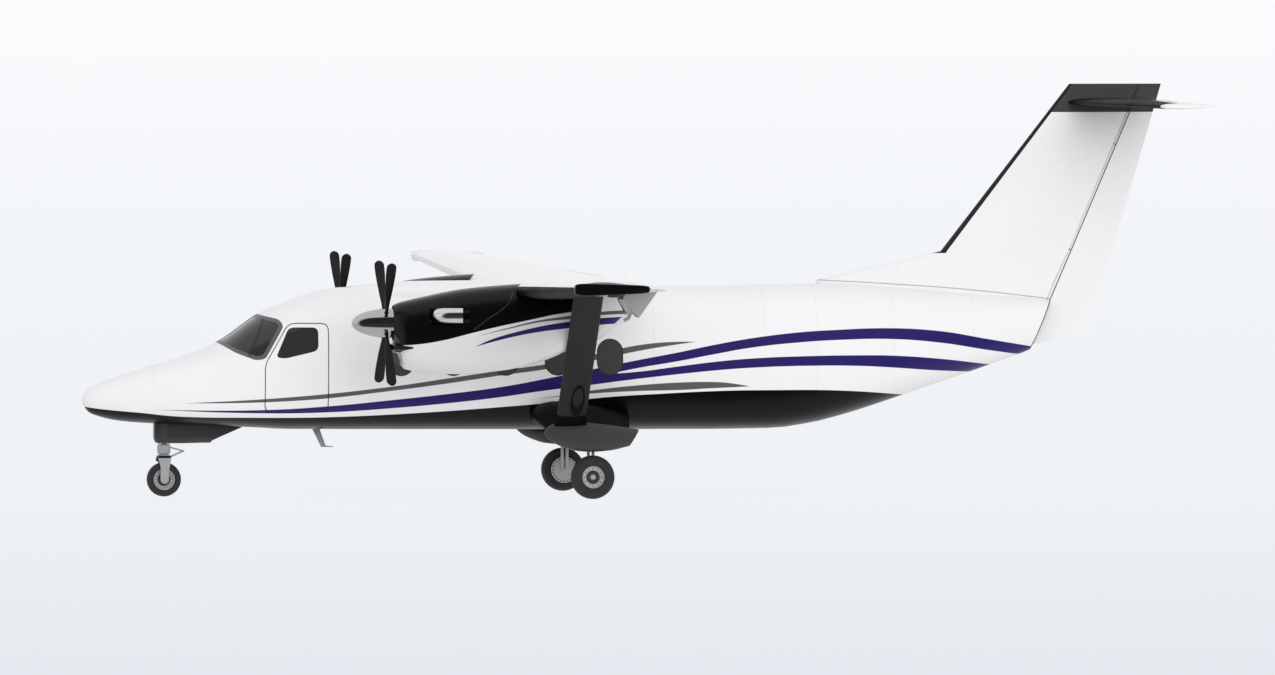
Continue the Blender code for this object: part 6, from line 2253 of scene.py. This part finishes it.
@dataclass
class FlightDeck:
    """Seats, instrument panel and control columns that show through the glass."""

    seat_lateral: float = 0.38

    def build(self) -> None:
        """Builds and dresses what stands on the flight deck."""
        self.build_panel()
        self.build_seats()

    def build_panel(self) -> None:
        """The instrument panel with its glare shield, three screens and two control wheels."""
        outline = ((2.12, 1.2503), (2.30, 1.2503), (2.42, 1.98), (2.36, 2.05), (2.12, 2.05))
        panel = soften(slab("panel_shell", outline, -0.50, 0.50), 0.018, 3)
        fixed(panel, 32.0, PANEL_PLASTIC, "panel_plastic", "instrument_panel")
        face = Vector((0.73, 0.0, -0.12)).normalized()
        up = Vector((-face.z, 0.0, face.x))
        width, rise = 0.120, 0.085
        screens = []
        for y in (-0.32, 0.0, 0.32):
            middle = at(2.385, y, 1.76)
            rings = []
            for half, lift in ((width, -0.016), (width, 0.008), (0.114, 0.011)):
                shape = rounded(((-half, -rise), (half, -rise), (half, rise), (-half, rise)), 0.012, 4)
                start = middle + face * lift
                rings.append([start + ALONG_Y * w + up * (h * half / width) for w, h in shape])
            screens.append(skin("screen", rings))
        fixed(merge("panel_screens", *screens), 30.0, SCREEN_GLASS, "panel_plastic")
        for side in Side:
            y = side.value * self.seat_lateral
            column = rod(f"control_column_{side.word}", at(2.36, y, 1.62), at(2.56, y, 1.66), 0.017, 24)
            tube = [(0.115 + 0.014 * c, 0.014 * s) for c, s in circle(12)]
            wheel = turned("yoke_rim", at(2.57, y, 1.66), Vector((1.0, 0.0, 0.2)), tube, 48)
            bar = cross_rod("yoke_bar", (2.57, 1.66), (y - 0.115, y + 0.115), 0.012, 16)
            yoke = merge(column.name, column, wheel, bar)
            fixed(yoke, 40.0, PANEL_PLASTIC, "panel_plastic")

    def build_seats(self) -> None:
        """Two crew seats, each a moulded base and shell with two stuffed cushions."""
        y = Side.LEFT.value * self.seat_lateral
        shell = (
            (2.82, 1.2503), (3.22, 1.2503), (3.22, 1.50), (3.42, 2.30), (3.375, 2.32), (3.19, 1.62),
            (3.12, 1.56), (2.76, 1.56), (2.76, 1.53), (2.82, 1.50),
        )
        base = soften(slab("crew_seat_base_left", shell, y - 0.205, y + 0.205), 0.012, 3)
        seat = self.cushion(
            "seat_cushion_left", at(2.965, y, 1.632), Vector((1.0, 0.0, -0.05)), (0.46, 0.44, 0.125)
        )
        back = self.cushion(
            "back_cushion_left", at(3.265, y, 2.015), Vector((0.25, 0.0, 1.0)), (0.60, 0.43, 0.115)
        )
        for obj in (base, seat, back):
            for piece, word in ((obj, "left"), (mirrored(obj, obj.name.replace("left", "right")), "right")):
                if obj is base:
                    fixed(piece, 40.0, PANEL_PLASTIC, "panel_plastic")
                    continue
                replaced = (f"crew_seat_{word}",) if obj is seat else ()
                fixed(piece, 40.0, SEAT_LEATHER, "seat_leather", *replaced)

    def cushion(self, name: str, middle: Vector, along: Vector, size: tuple[float, float, float]) -> Piece:
        """A crowned cushion with a sewn channel along its middle and a piped edge.

        Args:
            name: Name of the new object.
            middle: Its centre.
            along: Direction of its length in the plane of symmetry.
            size: Length, width and thickness.

        Returns:
            The cushion.
        """
        obj = primitive(name, bpy.ops.mesh.primitive_cube_add, size=1.0)
        edit(obj, lambda: bpy.ops.mesh.subdivide(number_cuts=15))
        length, width, thickness = size
        ahead = along.normalized()
        normal = Vector((-ahead.z, 0.0, ahead.x))
        for vertex in obj.data.vertices:
            u, v, w = vertex.co * 2
            # The sides pull in between the corners and the middle swells
            pinch_u = 1 - 0.045 * (1 - v * v)
            pinch_v = 1 - 0.045 * (1 - u * u)
            swell = (1 - abs(u) ** 3) ** 0.45 * (1 - abs(v) ** 3) ** 0.45
            crown = 0.30 + 0.70 * swell
            channel = 1 - 0.16 * bell(abs(v), 0.52, 0.035) - 0.10 * bell(u, 0.1, 0.03)
            rim = 1 - 0.03 * abs(w)
            vertex.co = (
                middle + ahead * (u * length / 2 * pinch_u * rim)
                + ALONG_Y * (v * width / 2 * pinch_v * rim)
                + normal * (w * thickness / 2 * crown * (channel if abs(w) > 0.9 else 1.0))
            )
        return modified(obj, "SUBSURF", levels=1, render_levels=1)


@dataclass
class Fittings:
    """The aerials on the roof and under the belly."""

    # Roof mast: height, leading edge, chord, thickness
    mast: Table = (
        (3.14, 8.22, 0.17, 0.03), (3.24, 8.27, 0.13, 0.024), (3.49, 8.365, 0.07, 0.016),
        (3.505, 8.37, 0.06, 0.01),
    )
    belly_blade: Outline = (
        (3.5, 1.035), (3.615, 1.035), (3.712, 0.766), (3.83, 0.752), (3.83, 0.742), (3.645, 0.742),
    )
    belly_foot: Outline = ((3.505, 1.05), (3.517, 1.026), (3.655, 1.024), (3.67, 1.05))

    def build(self) -> None:
        """Builds and dresses the small outer fittings."""
        rings = [
            [at(front + x, z, height) for x, z in airfoil(chord, thick, 0.0, 0.001)]
            for height, front, chord, thick in self.mast
        ]
        bar = rod("roof_aerial_bar", at(8.335, 0.0, 3.507), at(8.480, 0.0, 3.513), 0.009, 16, 0.006)
        mast = merge("roof_aerial_mast", skin("mast", rings), bar)
        fixed(mast, 40.0, GLOSS_WHITE, "white_paint")
        blade = soften(slab("blade", self.belly_blade, -0.009, 0.009), 0.003)
        foot = slab("foot", self.belly_foot, -0.030, 0.030)
        fixed(merge("belly_mast", blade, foot), 40.0, AERIAL_GREY, "white_paint")


# Camera, lights and floor

BAND_HEX = "303132"


@dataclass
class Studio:
    """A pale floor, soft light and the camera of the side view."""

    azimuth: float = -6.8
    elevation: float = 1.5
    distance: float = 400.0
    frame_width: float = 19.365
    target: Vector = field(default_factory=lambda: Vector((0.078, 0.0, 2.388)))

    def build(self) -> None:
        """Builds the stage."""
        self.build_camera()
        self.build_floor()
        self.build_light()

    def back(self) -> Vector:
        """Direction from the object to the camera."""
        a, e = math.radians(self.azimuth), math.radians(self.elevation)
        return Vector((math.sin(a) * math.cos(e), -math.cos(a) * math.cos(e), math.sin(e)))

    def build_camera(self) -> None:
        """A camera far off with a long lens, nearly without perspective."""
        data = bpy.data.cameras.new("camera")
        camera = bpy.data.objects.new("camera", data)
        bpy.context.scene.collection.objects.link(camera)
        back = self.back()
        camera.location = self.target + back * self.distance
        camera.rotation_mode = "QUATERNION"
        camera.rotation_quaternion = (-back).to_track_quat("-Z", "Y")
        data.sensor_width = 36.0
        data.lens = data.sensor_width * self.distance / self.frame_width
        data.clip_start = 10.0
        data.clip_end = 5000.0
        bpy.context.scene.camera = camera

    def gradient(self, tree: Tree, share: Socket, *stops: tuple[float, str]) -> Socket:
        """A colour that runs through some stops.

        Args:
            tree: Node tree that takes the nodes.
            share: Where along the stops the colour is taken.
            *stops: Places and sRGB hex colours, the first at 0 and the last at 1.

        Returns:
            A colour socket.
        """
        ramp = add_node(tree, "ShaderNodeValToRGB", {0: share})
        elements = ramp.color_ramp.elements
        elements[0].color, elements[1].color = hex_colour(stops[0][1]), hex_colour(stops[-1][1])
        for place, code in stops[1:-1]:
            elements.new(place).color = hex_colour(code)
        return ramp.outputs[0]

    def in_mirrors(self, tree: Tree, view: Sequence[Socket], facing: Point, low: Point) -> Socket:
        """Mask of a dark band that glossy reflections alone show.

        Args:
            tree: Node tree that takes the nodes.
            view: The three coordinates of the direction that is looked in.
            facing: Values along Y between which the band comes in.
            low: Values along Z between which it comes in.

        Returns:
            A mask socket.
        """
        across, down = (
            add_node(tree, "ShaderNodeMapRange", (view[axis], *ends)).outputs[0]
            for axis, ends in ((1, facing), (2, low))
        )
        mirrors = add_node(tree, "ShaderNodeLightPath").outputs["Is Glossy Ray"]
        return combined(tree, combined(tree, across, down), mirrors)

    def build_floor(self) -> None:
        """One wide pale floor that fades to a lighter tone far off."""
        disc = bpy.ops.mesh.primitive_circle_add
        floor = primitive("studio_floor", disc, vertices=96, radius=3000.0, fill_type="NGON")
        made = bpy.data.materials.new("matt_paper_floor")
        made.use_nodes = True
        tree = made.node_tree
        tree.nodes.clear()
        place = add_node(tree, "ShaderNodeTexCoord").outputs["Object"]
        parts = add_node(tree, "ShaderNodeSeparateXYZ", {0: place}).outputs
        share = add_node(tree, "ShaderNodeMapRange", (parts[1], -70.0, 500.0)).outputs[0]
        paper = self.gradient(tree, share, (0.0, "e6eaf0"), (0.12, "eff2f6"), (1.0, "fbfcfe"))
        # Its light on the object is neutral, and mirrors that face the camera see a dark horizon
        incoming = add_node(tree, "ShaderNodeNewGeometry").outputs["Incoming"]
        view = add_node(tree, "ShaderNodeSeparateXYZ", {0: incoming}).outputs
        band = self.in_mirrors(tree, view, (0.40, 0.65), (0.64, 0.50))
        lit = over(tree, plain(tree, "e2e2e2"), BAND_HEX, band)
        camera = add_node(tree, "ShaderNodeLightPath").outputs["Is Camera Ray"]
        seen = add_node(tree, "ShaderNodeMix", {0: camera, 6: lit, 7: paper}, data_type="RGBA").outputs[2]
        glow = add_node(tree, "ShaderNodeEmission", {0: seen, 1: 1.0}).outputs[0]
        matt = add_node(tree, "ShaderNodeBsdfDiffuse", {0: paper}).outputs[0]
        blend = add_node(tree, "ShaderNodeMixShader", {0: 0.03, 1: glow, 2: matt}).outputs[0]
        add_node(tree, "ShaderNodeOutputMaterial", {0: blend})
        floor.data.materials.append(made)

    def build_light(self) -> None:
        """A pale sky, a shade darker overhead, and one broad soft key from above."""
        scene = bpy.context.scene
        scene.world = world = bpy.data.worlds.new("pale_sky")
        world.use_nodes = True
        tree = world.node_tree
        tree.nodes.clear()
        place = add_node(tree, "ShaderNodeTexCoord").outputs["Generated"]
        parts = add_node(tree, "ShaderNodeSeparateXYZ", {0: place}).outputs
        pale = self.gradient(tree, parts[2], (0.0, "fafafb"), (1.0, "f2f2f4"))
        # A dark band low on the camera's side gives metals and blacks their depth
        tone = over(tree, pale, BAND_HEX, self.in_mirrors(tree, parts, (-0.40, -0.65), (0.82, 0.70)))
        mirrors = add_node(tree, "ShaderNodeLightPath").outputs["Is Glossy Ray"]
        strength = add_node(tree, "ShaderNodeMath", (mirrors, 0.16, 0.84), operation="MULTIPLY_ADD")
        sky = add_node(tree, "ShaderNodeBackground", (tone, strength.outputs[0]))
        add_node(tree, "ShaderNodeOutputWorld", {0: sky.outputs[0]})
        data = bpy.data.lights.new("soft_key", "SUN")
        data.energy = 0.90
        data.angle = math.radians(40.0)
        key = bpy.data.objects.new("soft_key", data)
        key.rotation_euler = (math.radians(74.0), 0.0, math.radians(14.0))
        key.visible_glossy = False
        scene.collection.objects.link(key)
        scene.view_settings.view_transform = "Standard"


def main() -> None:
    """Builds the aircraft piece by piece."""
    logging.basicConfig(level=logging.INFO, format="%(name)s: %(message)s")
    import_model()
    Studio().build()
    wing = Wing()
    tail = Tail()
    assemblies = [Fuselage(tail), wing, NoseGear(), tail, FlightDeck(), Fittings()]
    for side in Side:
        assemblies += [Powerplant(side, wing), MainGear(side, wing)]
    for assembly in assemblies:
        LOG.info("building %s", type(assembly).__name__)
        assembly.build()


if __name__ == "__main__":
    main()
